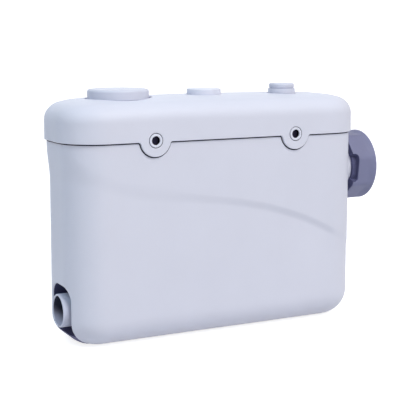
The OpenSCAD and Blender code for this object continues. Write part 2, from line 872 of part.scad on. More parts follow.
module rubber_feet() {
  color(rubber) at_feet() translate([0, 0, -foot_h]) cylinder(d = foot_d, h = foot_h + foot_sink);
}

module cable_gland() {
  color(rubber) translate([gland_x, 0, gland_z]) difference() {
    union() {
      translate([0, inner_half_d - gland_nut_t - 2, 0])
        rod_y(gland_thread_d, tank_back + over - inner_half_d + gland_nut_t + 2);
      translate([0, tank_back, 0]) rotate([-90, 0, 0])
        cylinder(d = gland_body_d, h = gland_out / 2, $fn = 6);
      translate([0, tank_back, 0]) rod_y(gland_body_d - 4, gland_out);
    }
    rod_y(gland_bore, case_d);
  }
}

module gland_nut() {
  color(rubber) translate([gland_x, inner_half_d - gland_nut_t, gland_z]) difference() {
    rotate([-90, 0, 0]) cylinder(d = gland_body_d, h = gland_nut_t, $fn = 6);
    translate([0, -over, 0]) rod_y(gland_thread_d + 2 * fit, gland_nut_t + 2 * over);
  }
}

module motor_deck() {
  color("gainsboro") difference() {
    union() {
      translate([deck_x0, -deck_half_d, deck_z]) cube([deck_x1 - deck_x0, 2 * deck_half_d, deck_t]);
      translate([motor_x, 0, upper_bearing_z]) cylinder(d = bearing_boss_d, h = upper_boss_h + over);
    }
    translate([motor_x, 0, upper_bearing_z - over]) cylinder(d = bearing_d + 2 * fit, h = bearing_h + over);
    translate([motor_x, 0, upper_bearing_z]) cylinder(d = shaft_room_d, h = bearing_h + 4);
    at_lid_screws() translate([-boss_d / 2 - 1, boss_end - 1, deck_z - screw_z - over])
      cube([boss_d + 2, case_d, deck_t + 2 * over]);
    at_deck_lugs() translate([0, 0, deck_z - over])
      cylinder(d = deck_screw_d + 2 * fit, h = deck_t + 2 * over);
    at_motor_screws() translate([0, 0, deck_z - over])
      cylinder(d = deck_screw_d + 2 * fit, h = deck_t + 2 * over);
    translate([pressure_x, 0, deck_z - over])
      cylinder(d = pressure_nipple_d + 2 * fit, h = deck_t + 2 * over);
  }
}

module deck_screws() {
  color(steel) at_deck_lugs() {
    translate([0, 0, deck_top - deck_screw_len]) cylinder(d = deck_screw_d, h = deck_screw_len + over);
    translate([0, 0, deck_top]) cylinder(d = deck_head_d, h = deck_head_h);
  }
}

module motor_can() {
  color(steel) translate([motor_x, 0, 0]) difference() {
    union() {
      translate([0, 0, can_z]) cylinder(d = motor_d, h = motor_h);
      translate([0, 0, deck_z - can_flange_t]) cylinder(d = flange_d, h = can_flange_t);
    }
    difference() {
      translate([0, 0, can_z + can_wall]) cylinder(d = motor_d - 2 * can_wall, h = motor_h);
      translate([0, 0, can_z]) cylinder(d = bearing_boss_d, h = winding_z - can_z);
    }
    translate([0, 0, can_z - over]) cylinder(d = seal_d + 2 * fit, h = shaft_seal_h + over);
    translate([0, 0, can_z]) cylinder(d = shaft_room_d, h = motor_h);
    translate([0, 0, lower_bearing_z]) cylinder(d = bearing_d + 2 * fit, h = bearing_h + over);
    translate([-motor_x, 0, 0]) at_motor_screws() translate([0, 0, deck_z - can_flange_t - over])
      cylinder(d = deck_screw_d + 2 * fit, h = can_flange_t + 2 * over);
  }
}

module motor_screws() {
  head_z = deck_z - can_flange_t - deck_head_h;
  color(steel) at_motor_screws() {
    translate([0, 0, head_z]) cylinder(d = deck_head_d - 1, h = deck_head_h);
    translate([0, 0, head_z + over])
      cylinder(d = deck_screw_d, h = deck_head_h + can_flange_t + deck_t - over);
  }
}

module stator() {
  color("gray") translate([motor_x, 0, stator_z]) tube(stator_d, stator_bore, stator_h);
}

module windings() {
  color(copper) translate([motor_x, 0, 0]) for (z = [winding_z, stator_z + stator_h])
    translate([0, 0, z]) tube(stator_d - 2 * winding_play, stator_bore + 2 * winding_gap, winding_h);
}

module rotor() {
  color("gray") translate([motor_x, 0, stator_z]) tube(rotor_d, shaft_d, stator_h - winding_gap);
}

module shaft() {
  color(steel) translate([motor_x, 0, shaft_bottom])
    cylinder(d = shaft_d, h = shaft_top - shaft_bottom);
}

module upper_bearing() {
  color(steel) translate([motor_x, 0, upper_bearing_z])
    tube(bearing_d, shaft_d + 2 * fit, bearing_h);
}

module lower_bearing() {
  color(steel) translate([motor_x, 0, lower_bearing_z])
    tube(bearing_d, shaft_d + 2 * fit, bearing_h);
}

module shaft_seal() {
  color(rubber) translate([motor_x, 0, can_z]) tube(seal_d, shaft_d + 2 * fit, shaft_seal_h);
}

module cutter() {
  color(steel) translate([motor_x, 0, cutter_z]) difference() {
    union() {
      cylinder(d = hub_d + 6, h = cutter_hub_h);
      for (a = [0, 90]) rotate(a) translate([-cutter_span / 2, -cutter_w / 2, cutter_hub_h / 2])
        cube([cutter_span, cutter_w, cutter_t]);
    }
    translate([0, 0, -over]) cylinder(d = shaft_d, h = cutter_hub_h + 2 * over);
  }
}

module impeller() {
  color(plastic) translate([motor_x, 0, impeller_z]) difference() {
    union() {
      cylinder(d = impeller_d, h = impeller_disc_t);
      cylinder(d = hub_d, h = impeller_disc_t + vane_h);
      for (k = [0 : vane_count - 1]) rotate(360 / vane_count * k)
        translate([hub_d / 4, -1, impeller_disc_t / 2]) cube([impeller_d / 2 - hub_d / 4 - 1, 2, vane_h]);
    }
    translate([0, 0, -over]) cylinder(d = shaft_d, h = impeller_disc_t + vane_h + 2 * over);
  }
}

module impeller_nut() {
  color(steel) translate([motor_x, 0, shaft_bottom]) difference() {
    cylinder(d = impeller_nut_d, h = impeller_nut_h, $fn = 6);
    translate([0, 0, -over]) cylinder(d = shaft_d, h = impeller_nut_h + 2 * over);
  }
}

module basket() {
  color(steel) translate([motor_x, 0, pump_top]) difference() {
    tube(basket_d, basket_d - 2 * basket_wall, basket_h);
    for (k = [0 : basket_slots / 2 - 1]) rotate(360 / basket_slots * (k + 0.5))
      translate([-basket_d, -basket_slot_w / 2, basket_rim])
        cube([2 * basket_d, basket_slot_w, basket_h - 2 * basket_rim]);
  }
}

module volute() {
  color("gainsboro") difference() {
    union() {
      translate([motor_x, 0, pump_z]) cylinder(d = volute_d, h = pump_top - pump_z);
      translate([motor_x, 0, floor_t]) cylinder(d = pump_foot_d, h = pump_foot_h + over);
      translate([motor_x, 0, pump_top - over])
        tube(basket_d + 2 * basket_lip_t, basket_d + 2 * fit, basket_lip_h + over);
      translate([motor_x, 0, pump_top - over]) cylinder(d = basket_d + 2 * basket_lip_t, h = over);
      translate([pipe_stop - socket_len, 0, outlet_pipe_z])
        rod_x(outlet_pipe_d + 2 * socket_wall, volute_d / 2);
    }
    translate([motor_x, 0, chamber_z]) cylinder(d = chamber_d, h = chamber_h);
    translate([motor_x, 0, chamber_z]) cylinder(d = pump_eye_d, h = case_d);
    translate([pipe_stop - socket_len, 0, outlet_pipe_z])
      rod_x(outlet_pipe_d - 2 * outlet_pipe_wall, volute_d / 2 + socket_len);
    translate([pipe_stop - socket_len - over, 0, outlet_pipe_z])
      rod_x(outlet_pipe_d + 2 * fit, socket_len + over);
  }
}

// A straight run, a quarter bend and a short upright, with a given diameter
module discharge_run(d, extra) {
  run_start = riser_x + elbow_r;
  translate([run_start, 0, outlet_pipe_z]) rod_x(d, pipe_stop - run_start + extra);
  translate([run_start, 0, outlet_pipe_z + elbow_r]) rotate([90, 0, 0]) rotate([0, 0, 180])
    rotate_extrude(angle = 90) translate([elbow_r, 0]) circle(d = d);
  translate([riser_x, 0, outlet_pipe_z + elbow_r])
    cylinder(d = d, h = valve_z + valve_socket - outlet_pipe_z - elbow_r + extra);
}

module discharge_pipe() {
  color(plastic) difference() {
    discharge_run(outlet_pipe_d, 0);
    discharge_run(outlet_pipe_d - 2 * outlet_pipe_wall, over);
  }
}

module check_valve() {
  color(plastic) translate([riser_x, 0, valve_z]) difference() {
    translate([-valve_w / 2, -valve_w / 2, 0]) cube([valve_w, valve_w, valve_h]);
    translate([-valve_room / 2, -valve_room / 2, valve_plate])
      cube([valve_room, valve_room, valve_h - 2 * valve_plate]);
    translate([0, 0, -over]) cylinder(d = seat_d, h = valve_h + 2 * over);
    for (z = [-over, valve_h - valve_socket]) translate([0, 0, z])
      cylinder(d = outlet_pipe_d + 2 * fit, h = valve_socket + over);
    translate([check_pin_x - riser_x, -valve_w, check_pin_z - valve_z])
      rod_y(check_pin_d + 2 * fit, 2 * valve_w);
  }
}

module check_flap() {
  plate_z = valve_z + valve_plate + clear;
  color(rubber) difference() {
    union() {
      translate([check_pin_x, -check_w / 2, plate_z]) cube([check_w, check_w, check_t]);
      translate([check_pin_x, -check_w / 2, check_pin_z]) rod_y(check_pin_d + 4, check_w);
    }
    translate([check_pin_x, -check_w, check_pin_z]) rod_y(check_pin_d + 2 * fit, 2 * check_w);
  }
}

module check_flap_pin() {
  color(steel) translate([check_pin_x, -valve_w / 2, check_pin_z]) rod_y(check_pin_d, valve_w);
}

module riser() {
  bottom = valve_z + valve_h - valve_socket;
  color(plastic) difference() {
    union() {
      translate([riser_x, 0, bottom]) cylinder(d = outlet_pipe_d, h = port_end_z - bottom);
      translate([-outlet_x, 0, port_end_z - riser_flange_t])
        cylinder(d = port_d + 2 * port_wall, h = riser_flange_t);
    }
    translate([riser_x, 0, bottom - over]) cylinder(d = outlet_pipe_d - 2 * outlet_pipe_wall, h = case_w);
  }
}

module pressure_tube() {
  color("gainsboro") translate([pressure_x, 0, 0]) difference() {
    union() {
      translate([0, 0, pressure_tube_z]) cylinder(d = pressure_tube_d, h = deck_z - pressure_tube_z);
      translate([0, 0, deck_z - over])
        cylinder(d = pressure_nipple_d, h = deck_t + pressure_nipple_len + over);
    }
    translate([0, 0, pressure_tube_z - over])
      cylinder(d = pressure_tube_d - 2 * pressure_wall,
        h = deck_z - pressure_wall - pressure_tube_z + over);
    translate([0, 0, pressure_tube_z]) cylinder(d = pressure_way_d, h = case_w);
  }
}

module pressure_switch() {
  color("black") translate([pressure_x, 0, 0]) difference() {
    translate([0, 0, deck_top]) cylinder(d = switch_d, h = switch_h);
    translate([0, 0, deck_top - over])
      cylinder(d = pressure_nipple_d + 2 * fit, h = pressure_nipple_len + over);
    translate([0, 0, deck_top]) cylinder(d = pressure_way_d, h = switch_room_z - deck_top + over);
    translate([0, 0, switch_room_z]) cylinder(d = plunger_plate_d + 2 * clear, h = switch_room_h);
    translate([0, 0, switch_room_z]) cylinder(d = plunger_d + 2 * fit, h = case_w);
  }
}

module pressure_plunger() {
  color("ivory") translate([pressure_x, 0, switch_room_z + plunger_gap]) {
    cylinder(d = plunger_plate_d, h = plunger_plate_t);
    cylinder(d = plunger_d, h = plunger_top - switch_room_z - plunger_gap);
  }
}

module microswitch() {
  leaf_z = plunger_top + plunger_travel + clear;
  reach = plunger_d;
  color("navy") translate([pressure_x, 0, 0]) {
    translate([plunger_d / 2 + 1, -micro_w / 2, deck_top + switch_h])
      cube([micro_t, micro_w, leaf_z + 4 * leaf_t - deck_top - switch_h]);
    translate([-reach, -leaf_w / 2, leaf_z]) cube([plunger_d / 2 + 2 + reach, leaf_w, leaf_t]);
  }
}

module capacitor() {
  color("white") translate([motor_x - capacitor_len / 2, 0, capacitor_z])
    rod_x(capacitor_d, capacitor_len);
}

module capacitor_saddle() {
  color("black") difference() {
    translate([motor_x - saddle_w / 2, -saddle_w / 2, deck_top]) cube([saddle_w, saddle_w, saddle_h]);
    translate([motor_x - saddle_w, 0, capacitor_z]) rod_x(capacitor_d + 2 * fit, 2 * saddle_w);
  }
}

module terminal_block() {
  color("white") difference() {
    translate([terminal_x - terminal_size[0] / 2, -terminal_size[1] / 2, deck_top]) cube(terminal_size);
    for (k = [-1.5 : 1.5])
      translate([terminal_x, k * terminal_pitch, deck_top + terminal_size[2] - terminal_well_h])
        cylinder(d = terminal_well_d, h = terminal_well_h + over);
  }
}

module test_switch() {
  color("black") difference() {
    translate([-test_switch_w / 2, -test_switch_w / 2, deck_top])
      cube([test_switch_w, test_switch_w, test_switch_h]);
    translate([0, 0, tip_end - button_travel - 2]) cylinder(d = tip_d + 2 * fit, h = case_w);
  }
}

tank();
lid();
lid_gasket();
lid_screws();
screw_ferrules();
outlet_cap();
outlet_cap_ring();
test_button();
button_clip();
button_spring();
vent_cap();
vent_filter();
side_spigot();
spigot_seal();
inlet_flap();
inlet_flap_pin();
union_nut();
cone_seal();
slip_washer();
rubber_feet();
cable_gland();
gland_nut();
motor_deck();
deck_screws();
motor_can();
motor_screws();
stator();
windings();
rotor();
shaft();
upper_bearing();
lower_bearing();
shaft_seal();
cutter();
impeller();
impeller_nut();
basket();
volute();
discharge_pipe();
check_valve();
check_flap();
check_flap_pin();
riser();
pressure_tube();
pressure_switch();
pressure_plunger();
microswitch();
capacitor();
capacitor_saddle();
terminal_block();
test_switch();
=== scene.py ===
import math

import bmesh
import bpy
import numpy as np
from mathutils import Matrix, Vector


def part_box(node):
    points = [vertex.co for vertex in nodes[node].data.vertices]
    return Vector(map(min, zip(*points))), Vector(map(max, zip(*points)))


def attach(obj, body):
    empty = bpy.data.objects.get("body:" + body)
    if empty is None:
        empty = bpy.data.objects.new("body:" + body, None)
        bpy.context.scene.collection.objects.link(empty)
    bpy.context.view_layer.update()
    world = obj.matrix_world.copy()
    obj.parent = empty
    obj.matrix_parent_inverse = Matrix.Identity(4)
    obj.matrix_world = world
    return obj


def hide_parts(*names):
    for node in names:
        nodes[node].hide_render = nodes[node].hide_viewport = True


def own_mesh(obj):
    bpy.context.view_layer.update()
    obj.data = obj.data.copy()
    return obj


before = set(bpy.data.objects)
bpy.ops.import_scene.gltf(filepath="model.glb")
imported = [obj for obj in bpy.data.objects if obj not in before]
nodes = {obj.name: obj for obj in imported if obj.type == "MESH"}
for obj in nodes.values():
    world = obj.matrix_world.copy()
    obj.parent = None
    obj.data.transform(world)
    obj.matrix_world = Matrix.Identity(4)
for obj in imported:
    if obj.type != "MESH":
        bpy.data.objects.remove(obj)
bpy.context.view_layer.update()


# Tank. The lower case is one tub injection moulded in pale satin plastic, with a wide rounded base and a soft
# step that sweeps down its front. A recess in its left end takes the inlet hose, over a low bar in dark purple
# that is painted shade, and a short neck on its right end takes the waste pipe. The recess's inside darkens
# inward as painted shade, and the groove under the lid's lip is painted near black as shade. All sizes are in
# millimetres from the middle of its base.

corner_x, corner_y = 140, 15  # centres of the case's rounded corners
wall_r, inside_r, floor_z = 41.7, 36.7, 4  # corner radius outside and inside, and the floor's top
arc_r = 39.7  # radius at which lengths round the corners are measured
base_r, left_base_r, inside_base_r = 30, 27, 27  # rounding of the base, at its left end and inside
left_x, right_x = -178.0, 181.0  # where the end walls' radius is read
seam_z, joint_gap = 221, 1.4  # the lid's lower edge and the gap under it
tab_x, tab_z, tab_r, tab_fillet, tab_reach = 87.5, 222.5, 17.5, 3, 26  # the lid's screw tabs
left_border, right_border = -53, 52  # where the lid's top is divided between its three seats
recess_front, recess_rear, recess_top = -15.0, 3.0, 49.5  # centres of the recess's upper corners
recess_back, recess_r, shade_sill_z = -146.7, 15.0, 11.5  # its back, its corner radius and the top of the low bar painted dark as shade
recess_block, neck_low, neck_high = 88, 137, 215  # how far the wall is parted for the recess and neck
neck_z, neck_r, neck_bore = 175.5, 31.0, 25.5  # the neck's axis and radii
rim_z, rim_r = 235, 39.1  # the rim inside the lid
spigot_y, recess_mid = -7, 36  # the hose's depth and the middle of the recess's back


def skin(name, grids, plates=(), crisp=38, lined=()):
    """A closed mesh from points in millimetres. Each grid is rows by columns of points, and four neighbours
    make a face. Each plate is a ring of points closed by one flat face. Points that fall together are joined,
    and an edge that turns by more than crisp degrees stays sharp. Each lined group of grids takes the next
    material after the first."""
    points, faces, start, tones = [], [], 0, []
    for tone, grid in [(n, g) for n, group in enumerate([grids, *lined]) for g in group]:
        rows, columns = grid.shape[:2]
        at = np.arange(rows * columns).reshape(rows, columns) + start
        faces += np.stack([at[:-1, :-1], at[:-1, 1:], at[1:, 1:], at[1:, :-1]], -1).reshape(-1, 4).tolist()
        points.append(grid.reshape(-1, 3))
        start += rows * columns
        tones += [tone] * (len(faces) - len(tones))
    for ring in plates:
        apart = np.linalg.norm(ring - np.roll(ring, 1, axis=0), axis=1) > 1e-3
        points.append(ring[apart])
        faces.append(list(range(start, start + int(apart.sum()))))
        start += int(apart.sum())
    mesh = bpy.data.meshes.new(name)
    mesh.from_pydata((np.concatenate(points) * 0.001).tolist(), [], faces)
    mesh.polygons.foreach_set("material_index", tones + [0] * (len(faces) - len(tones)))
    work = bmesh.new()
    work.from_mesh(mesh)
    bmesh.ops.remove_doubles(work, verts=work.verts, dist=4e-6)
    bmesh.ops.dissolve_degenerate(work, edges=work.edges, dist=2e-6)
    bmesh.ops.recalc_face_normals(work, faces=work.faces)
    work.to_mesh(mesh)
    work.free()
    mesh.shade_smooth()
    mesh.set_sharp_from_angle(angle=math.radians(crisp))
    piece = bpy.data.objects.new(name, mesh)
    bpy.context.scene.collection.objects.link(piece)
    return piece


class Value:
    """A socket of a material. Plus, minus and times on it add Math nodes, and make() adds any other node."""

    def __init__(self, tree, socket=None):
        self.tree, self.socket = tree, socket

    def make(self, kind, settings=None, inputs=None, out=0):
        """A new node with its settings and inputs, where a Value is linked and a number set. Gives one output."""
        node = self.tree.nodes.new(kind)
        for name, setting in (settings or {}).items():
            setattr(node, name, setting)
        for name, value in (inputs or {}).items():
            if isinstance(value, Value):
                self.tree.links.new(value.socket, node.inputs[name])
            else:
                node.inputs[name].default_value = value
        return Value(self.tree, node.outputs[out] if len(node.outputs) else None)

    def maths(self, operation, first, second):
        """A Math node of two inputs."""
        return self.make("ShaderNodeMath", {"operation": operation}, {0: first, 1: second})

    def __add__(self, other):
        return self.maths("ADD", self, other)

    def __radd__(self, other):
        return self.maths("ADD", other, self)

    def __sub__(self, other):
        return self.maths("SUBTRACT", self, other)

    def __rsub__(self, other):
        return self.maths("SUBTRACT", other, self)

    def __mul__(self, other):
        return self.maths("MULTIPLY", self, other)

    def __rmul__(self, other):
        return self.maths("MULTIPLY", other, self)


def blank(name):
    """A new material with an empty node tree, and its Object coordinates in metres."""
    material = bpy.data.materials.new(name)
    material.use_nodes = True
    material.node_tree.nodes.clear()
    start = Value(material.node_tree)
    return material, start.make("ShaderNodeTexCoord", out=3)


def colour_between(low, high, factor):
    """A colour that runs from low to high as the factor goes from 0 to 1."""
    return factor.make("ShaderNodeMix", {"data_type": "RGBA"},
                       {0: factor, 6: (*low, 1.0), 7: (*high, 1.0)}, out=2)


def moulded(name, low, high, rough=0.4, grain=1100.0, depth=0.00003, gloss=0.5, deep=None):
    """Injection moulded plastic: a faint cloudiness where the melt flowed, and the fine even grain of an eroded
    mould, which shows in the roughness and as a shallow bump. Deep gives a direction, two distances along it, and
    the dark tone that the colour has gone over to at the second: painted shade for hollows."""
    material, place = blank(name)
    cloud = place.make("ShaderNodeTexNoise", {}, {"Vector": place, "Scale": 16.0, "Detail": 3.0})
    fine = place.make("ShaderNodeTexNoise", {}, {"Vector": place, "Scale": grain, "Detail": 2.0})
    bump = place.make("ShaderNodeBump", {}, {"Strength": 0.35, "Distance": depth, "Height": fine})
    tone = colour_between(low, high, cloud * 0.7 + fine * 0.3)
    # Painted shade: the colour goes over to the dark tone along the given direction.
    if deep:
        way, start, stop, shade = deep
        along = place.make("ShaderNodeVectorMath", {"operation": "DOT_PRODUCT"}, {0: place, 1: way}, out=1)
        inward = along.make("ShaderNodeMapRange", {"interpolation_type": "SMOOTHSTEP"},
                            {"Value": along, "From Min": start, "From Max": stop})
        tone = inward.make("ShaderNodeMix", {"data_type": "RGBA"}, {0: inward, 6: tone, 7: (*shade, 1.0)}, out=2)
    surface = place.make("ShaderNodeBsdfPrincipled", {}, {
        "Base Color": tone, "Roughness": rough - 0.05 + fine * 0.1, "Specular IOR Level": gloss, "Normal": bump})
    place.make("ShaderNodeOutputMaterial", {}, {"Surface": surface})
    return material


def finish(piece, materials, body, slot, *replaced):
    """Gives a piece its materials, fixes it to its body, and hides the nodes it stands for. Its finish's name, slot,
    is not used.
    """
    for material in materials:
        piece.data.materials.append(material)
    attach(piece, body)
    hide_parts(*replaced)


def case_line(front, back, ends=7, corner=22):
    """Stations round the case, anticlockwise from the middle of the back. Each row is a foot on the 280 by 30
    rectangle that joins the corner centres and a direction square to the outline, so that a point at radius r
    is the foot plus r times the direction. Also gives the first station of each of the nine stretches."""
    turn = np.linspace(0, np.pi / 2, corner)
    end = np.linspace(-corner_y, corner_y, ends)
    cos, sin = np.cos(turn), np.sin(turn)
    stretches = [(back[back <= 0][::-1], corner_y, 0, 1), (-corner_x, corner_y, -sin, cos),
                 (-corner_x, end[::-1], -1, 0), (-corner_x, -corner_y, -cos, -sin), (front, -corner_y, 0, -1),
                 (corner_x, -corner_y, sin, -cos), (corner_x, end, 1, 0), (corner_x, corner_y, cos, sin),
                 (back[back >= 0][::-1], corner_y, 0, 1)]
    tables = [np.stack(np.broadcast_arrays(*s), -1).astype(float) for s in stretches]
    marks = np.cumsum([0] + [len(t) - 1 for t in tables])
    return np.concatenate([tables[0]] + [t[1:] for t in tables[1:]]), marks


def ease(t):
    """A smooth rise from 0 to 1 as t goes from 0 to 1: three t squared less two t cubed."""
    t = np.clip(t, 0, 1)
    return t * t * (3 - 2 * t)


def sweep(x):
    """Height and width of the step at a place along the case: a curve of the fourth power that falls from left
    to right, and a width that grows to the left and flares out at the left end."""
    t = x / 182
    line = 151.0 - 29.0 * t - 20.0 * t ** 2 - 28.9 * t ** 3 + 8.0 * t ** 4
    return line, 11 + 7 * ease((-20 - x) / 70) + 27 * np.exp(-(1 + t) / 0.08)


def rounding(z, size):
    """How far a quarter round of that size at the foot of a wall draws the wall in at height z."""
    return size - np.sqrt(np.maximum(size ** 2 - (size - np.minimum(z, size)) ** 2, 0))


def outer_radius(x, z):
    """Radius of the tank's outside: 41.7 at the rim, less the step below its line, less the base rounding. The
    step is deepest at the left end, and on the right half of the front it folds in by more just under its
    line and comes out again lower down. The rounding tightens from 30 to 27 at the left end."""
    line, width = sweep(x)
    to_right = ease((x + 40) / 110)
    step = 1.45 - 0.65 * to_right + 1.55 * ease((-150 - x) / 30)
    fold = 1.95 * (to_right - ease((x - 128) / 34)) * (1 - ease((line - 0.5 * width - z) / 70))
    base = base_r - (base_r - left_base_r) * ease((-168 - x) / 10)
    return wall_r - (step + fold) * ease(0.5 + (line - z) / width) - rounding(z, base)


def inner_radius(x, z):
    """Radius of the tank's inside: 36.7, less the rounding above its 4 mm floor."""
    return inside_r - rounding(z - floor_z, inside_base_r) + 0 * x


def tab_edge():
    """The lid's lower edge across one screw tab: sideways place, height, and the direction into the face. The
    level seam runs through a 3 mm inside fillet into a half disc of radius 17.5, and back the same way."""
    fillet_z = seam_z - tab_fillet
    across = math.sqrt((tab_r + tab_fillet) ** 2 - (tab_z - fillet_z) ** 2)
    lean = math.atan2(tab_z - fillet_z, across)
    turn = np.linspace(np.pi / 2, lean, 9)
    disc = np.linspace(np.pi + lean, 2 * np.pi - lean, 45)
    level = np.array([-tab_reach, -23.0])
    left = np.stack([-across + tab_fillet * np.cos(turn), fillet_z + tab_fillet * np.sin(turn),
                     np.cos(turn), np.sin(turn)], -1)
    round_part = np.stack([tab_r * np.cos(disc), tab_z + tab_r * np.sin(disc), -np.cos(disc), -np.sin(disc)], -1)
    start = np.stack([level, 0 * level + seam_z, 0 * level, 0 * level + 1], -1)
    mirror = np.array([-1, 1, -1, 1])
    return np.concatenate([start, left, round_part[1:], (left * mirror)[::-1][1:], (start * mirror)[::-1]])


def level_edge(places):
    """A level stretch of the lower edge at the given places."""
    return np.stack([places, 0 * places + seam_z, 0 * places, 0 * places + 1], -1)


outer_edge = np.linspace(tab_x + tab_reach, corner_x, 8)[1:]
joint_parts = [level_edge(-outer_edge[::-1]), tab_edge() + (-tab_x, 0, 0, 0),
               level_edge(np.concatenate([[-57.0], np.linspace(left_border, right_border, 26), [57.0]])),
               tab_edge() + (tab_x, 0, 0, 0), level_edge(outer_edge)]
joint_edge = np.concatenate(joint_parts)
joint_x = np.unique(np.round(np.append(joint_edge[:, 0], 0.0), 6))


def wall_points(line, z, radius, shift=0.0):
    """Points of a wall at heights z, rows by stations: each foot plus the radius along its direction, with a
    shift along the case."""
    fx, fy, dx, dy = line.T
    r = radius(fx + wall_r * dx, z)
    return np.stack([fx + shift + r * dx, fy + r * dy, z + 0 * r], -1)


def end_points(side, along, z, radius):
    """Points on an end of the tank (side -1 or 1) from the distance along its outline and the height."""
    fy = np.clip(along, -corner_y, corner_y)
    turn = (along - fy) / arc_r
    r = radius(side * (corner_x + wall_r * np.cos(turn)), z)
    return np.stack([side * (corner_x + r * np.cos(turn)), fy + r * np.sin(turn), z + 0 * r], -1)


def along_of(y, r):
    """Distance along an end's outline of the place at depth y, where the corner radius there is r."""
    past = np.clip((np.abs(y) - corner_y) / r, 0, 1)
    return np.where(np.abs(y) <= corner_y, y, np.sign(y) * (corner_y + arc_r * np.arcsin(past)))


def alcove(line, marks, points, top, radius, mouth_r, back, fillet):
    """The hose recess in the left end. Its mouth has upright legs, two rounded corners and a level top, given as
    feet plus mouth_r times directions. A strip runs from the mouth out to the block of the wall that it takes
    the place of, a fillet rolls into the mouth, and the passage runs in to its flat back. Where the base
    rounding has passed that back, the legs follow the line in which it cuts it."""
    rows = points[:top + 1, marks[4], 2]
    legs = int((rows <= recess_top).sum())
    across = np.arange(marks[4], marks[1] - 1, -1)
    ends = line[across][:, 1] + arc_r * np.arcsin(line[across][:, 3])
    edge = np.concatenate([np.stack([0 * rows + ends[0], rows], -1),
                           np.stack([ends, points[top, across, 2]], -1)[1:-1],
                           np.stack([0 * rows + ends[-1], points[:top + 1, marks[1], 2]], -1)[::-1]])
    turn = np.linspace(0, np.pi / 2, 40)
    upward = np.linspace(rows[legs - 1], recess_top, 12)
    feet = np.concatenate([np.stack(np.broadcast_arrays(*s), -1) for s in (
        (recess_front, upward), (recess_front, recess_top + 0 * turn),
        (np.linspace(recess_front, recess_rear, 20), recess_top),
        (recess_rear, recess_top + 0 * turn), (recess_rear, upward[::-1]))])
    ways = np.concatenate([np.stack(np.broadcast_arrays(*s), -1) for s in (
        (-1.0, np.zeros(12)), (-np.cos(turn), np.sin(turn)), (np.zeros(20), 1.0),
        (np.sin(turn), np.cos(turn)), (1.0, np.zeros(12)))])

    def measure(p):
        """Length along a line of points from its first: the running sum of the distances between neighbours."""
        return np.concatenate([[0], np.cumsum(np.linalg.norm(np.diff(p, axis=0), axis=1))])
    middle = edge[legs - 1:len(edge) - legs + 1]
    share = measure(middle) / measure(middle)[-1] * measure(feet + mouth_r * ways)[-1]
    found = np.stack([np.interp(share, measure(feet + mouth_r * ways), c) for c in (*feet.T, *ways.T)], -1)
    level = edge[:legs - 1, 1]
    before = np.stack([0 * level + recess_front, level, 0 * level - 1, 0 * level], -1)
    after = np.stack([0 * level + recess_rear, level, 0 * level + 1, 0 * level], -1)[::-1]
    table = np.concatenate([before, found, after])
    feet, ways = table[:, :2], table[:, 2:] / np.linalg.norm(table[:, 2:], axis=1)[:, None]

    def on_wall(off):
        """The mouth's line moved outwards by off, as distance along the end's outline and height. Its depth is held
        where the wall has not yet passed the recess's back."""
        y, z = (feet + (mouth_r + off)[:, None] * ways).T
        r = radius(left_x, z)
        reach = corner_y + np.sqrt(np.maximum(r ** 2 - (back + corner_x) ** 2, 0))
        return along_of(np.clip(y, -reach, reach), r), z
    rim = end_points(-1, *on_wall(0 * feet[:, 0]), radius)
    roll = np.clip(0.4 * (back - rim[:, 0]), 0, fillet)
    bends = []
    for angle in np.linspace(np.pi / 2, 0, 7):
        bend = end_points(-1, *on_wall(roll * (1 - np.sin(angle))), radius)
        bend[:, 0] += roll * (1 - np.cos(angle))
        bends.append(bend)
    inner = np.stack(on_wall(roll), -1)
    spread = np.linspace(0, 1, 13)[1:, None, None] ** 1.3
    fan = inner + (edge - inner) * spread
    fan = end_points(-1, fan[..., 0], fan[..., 1], radius)
    passage = bends[0] + np.zeros((6, 1, 1))
    passage[..., 0] = bends[0][:, 0] + (back - bends[0][:, 0]) * np.linspace(1, 0, 6)[:, None]
    return np.concatenate([passage[:-1], np.stack(bends), fan])


def neck_strip(line, points, left, right, low, high, radius, hole, fillet):
    """The right end round the waste neck: a strip from a circle of radius hole about the neck's axis to the
    block of the wall that it takes the place of, with a small hollow fillet where the neck leaves the wall."""
    across, up = np.arange(left, right + 1), np.arange(low, high)
    loop = np.concatenate([np.stack(np.broadcast_arrays(*s), -1) for s in (
        (low, across), (up[1:], right), (high, across[::-1]), (up[::-1], left))])
    ends = line[loop[:, 1]][:, 1] + arc_r * np.arcsin(line[loop[:, 1]][:, 3])
    edge = np.stack([ends, points[loop[:, 0], loop[:, 1], 2]], -1)
    angle = np.arctan2(edge[:, 1] - neck_z, edge[:, 0])

    def ring(r):
        """A circle of radius r about the neck's axis, as distance along the end's outline and height."""
        y, z = r * np.cos(angle), neck_z + r * np.sin(angle)
        return np.stack([along_of(y, radius(right_x, z)), z], -1)
    bends = []
    for bend in np.linspace(np.pi / 2, 0, 5):
        turn = ring(hole + fillet * (1 - np.sin(bend)))
        turn = end_points(1, turn[:, 0], turn[:, 1], radius)
        turn[:, 0] += fillet * (1 - np.cos(bend))
        bends.append(turn)
    inner = ring(hole + fillet)
    fan = inner + (edge - inner) * np.linspace(0, 1, 9)[1:, None, None]
    return np.concatenate([np.stack(bends), end_points(1, fan[..., 0], fan[..., 1], radius)]), angle


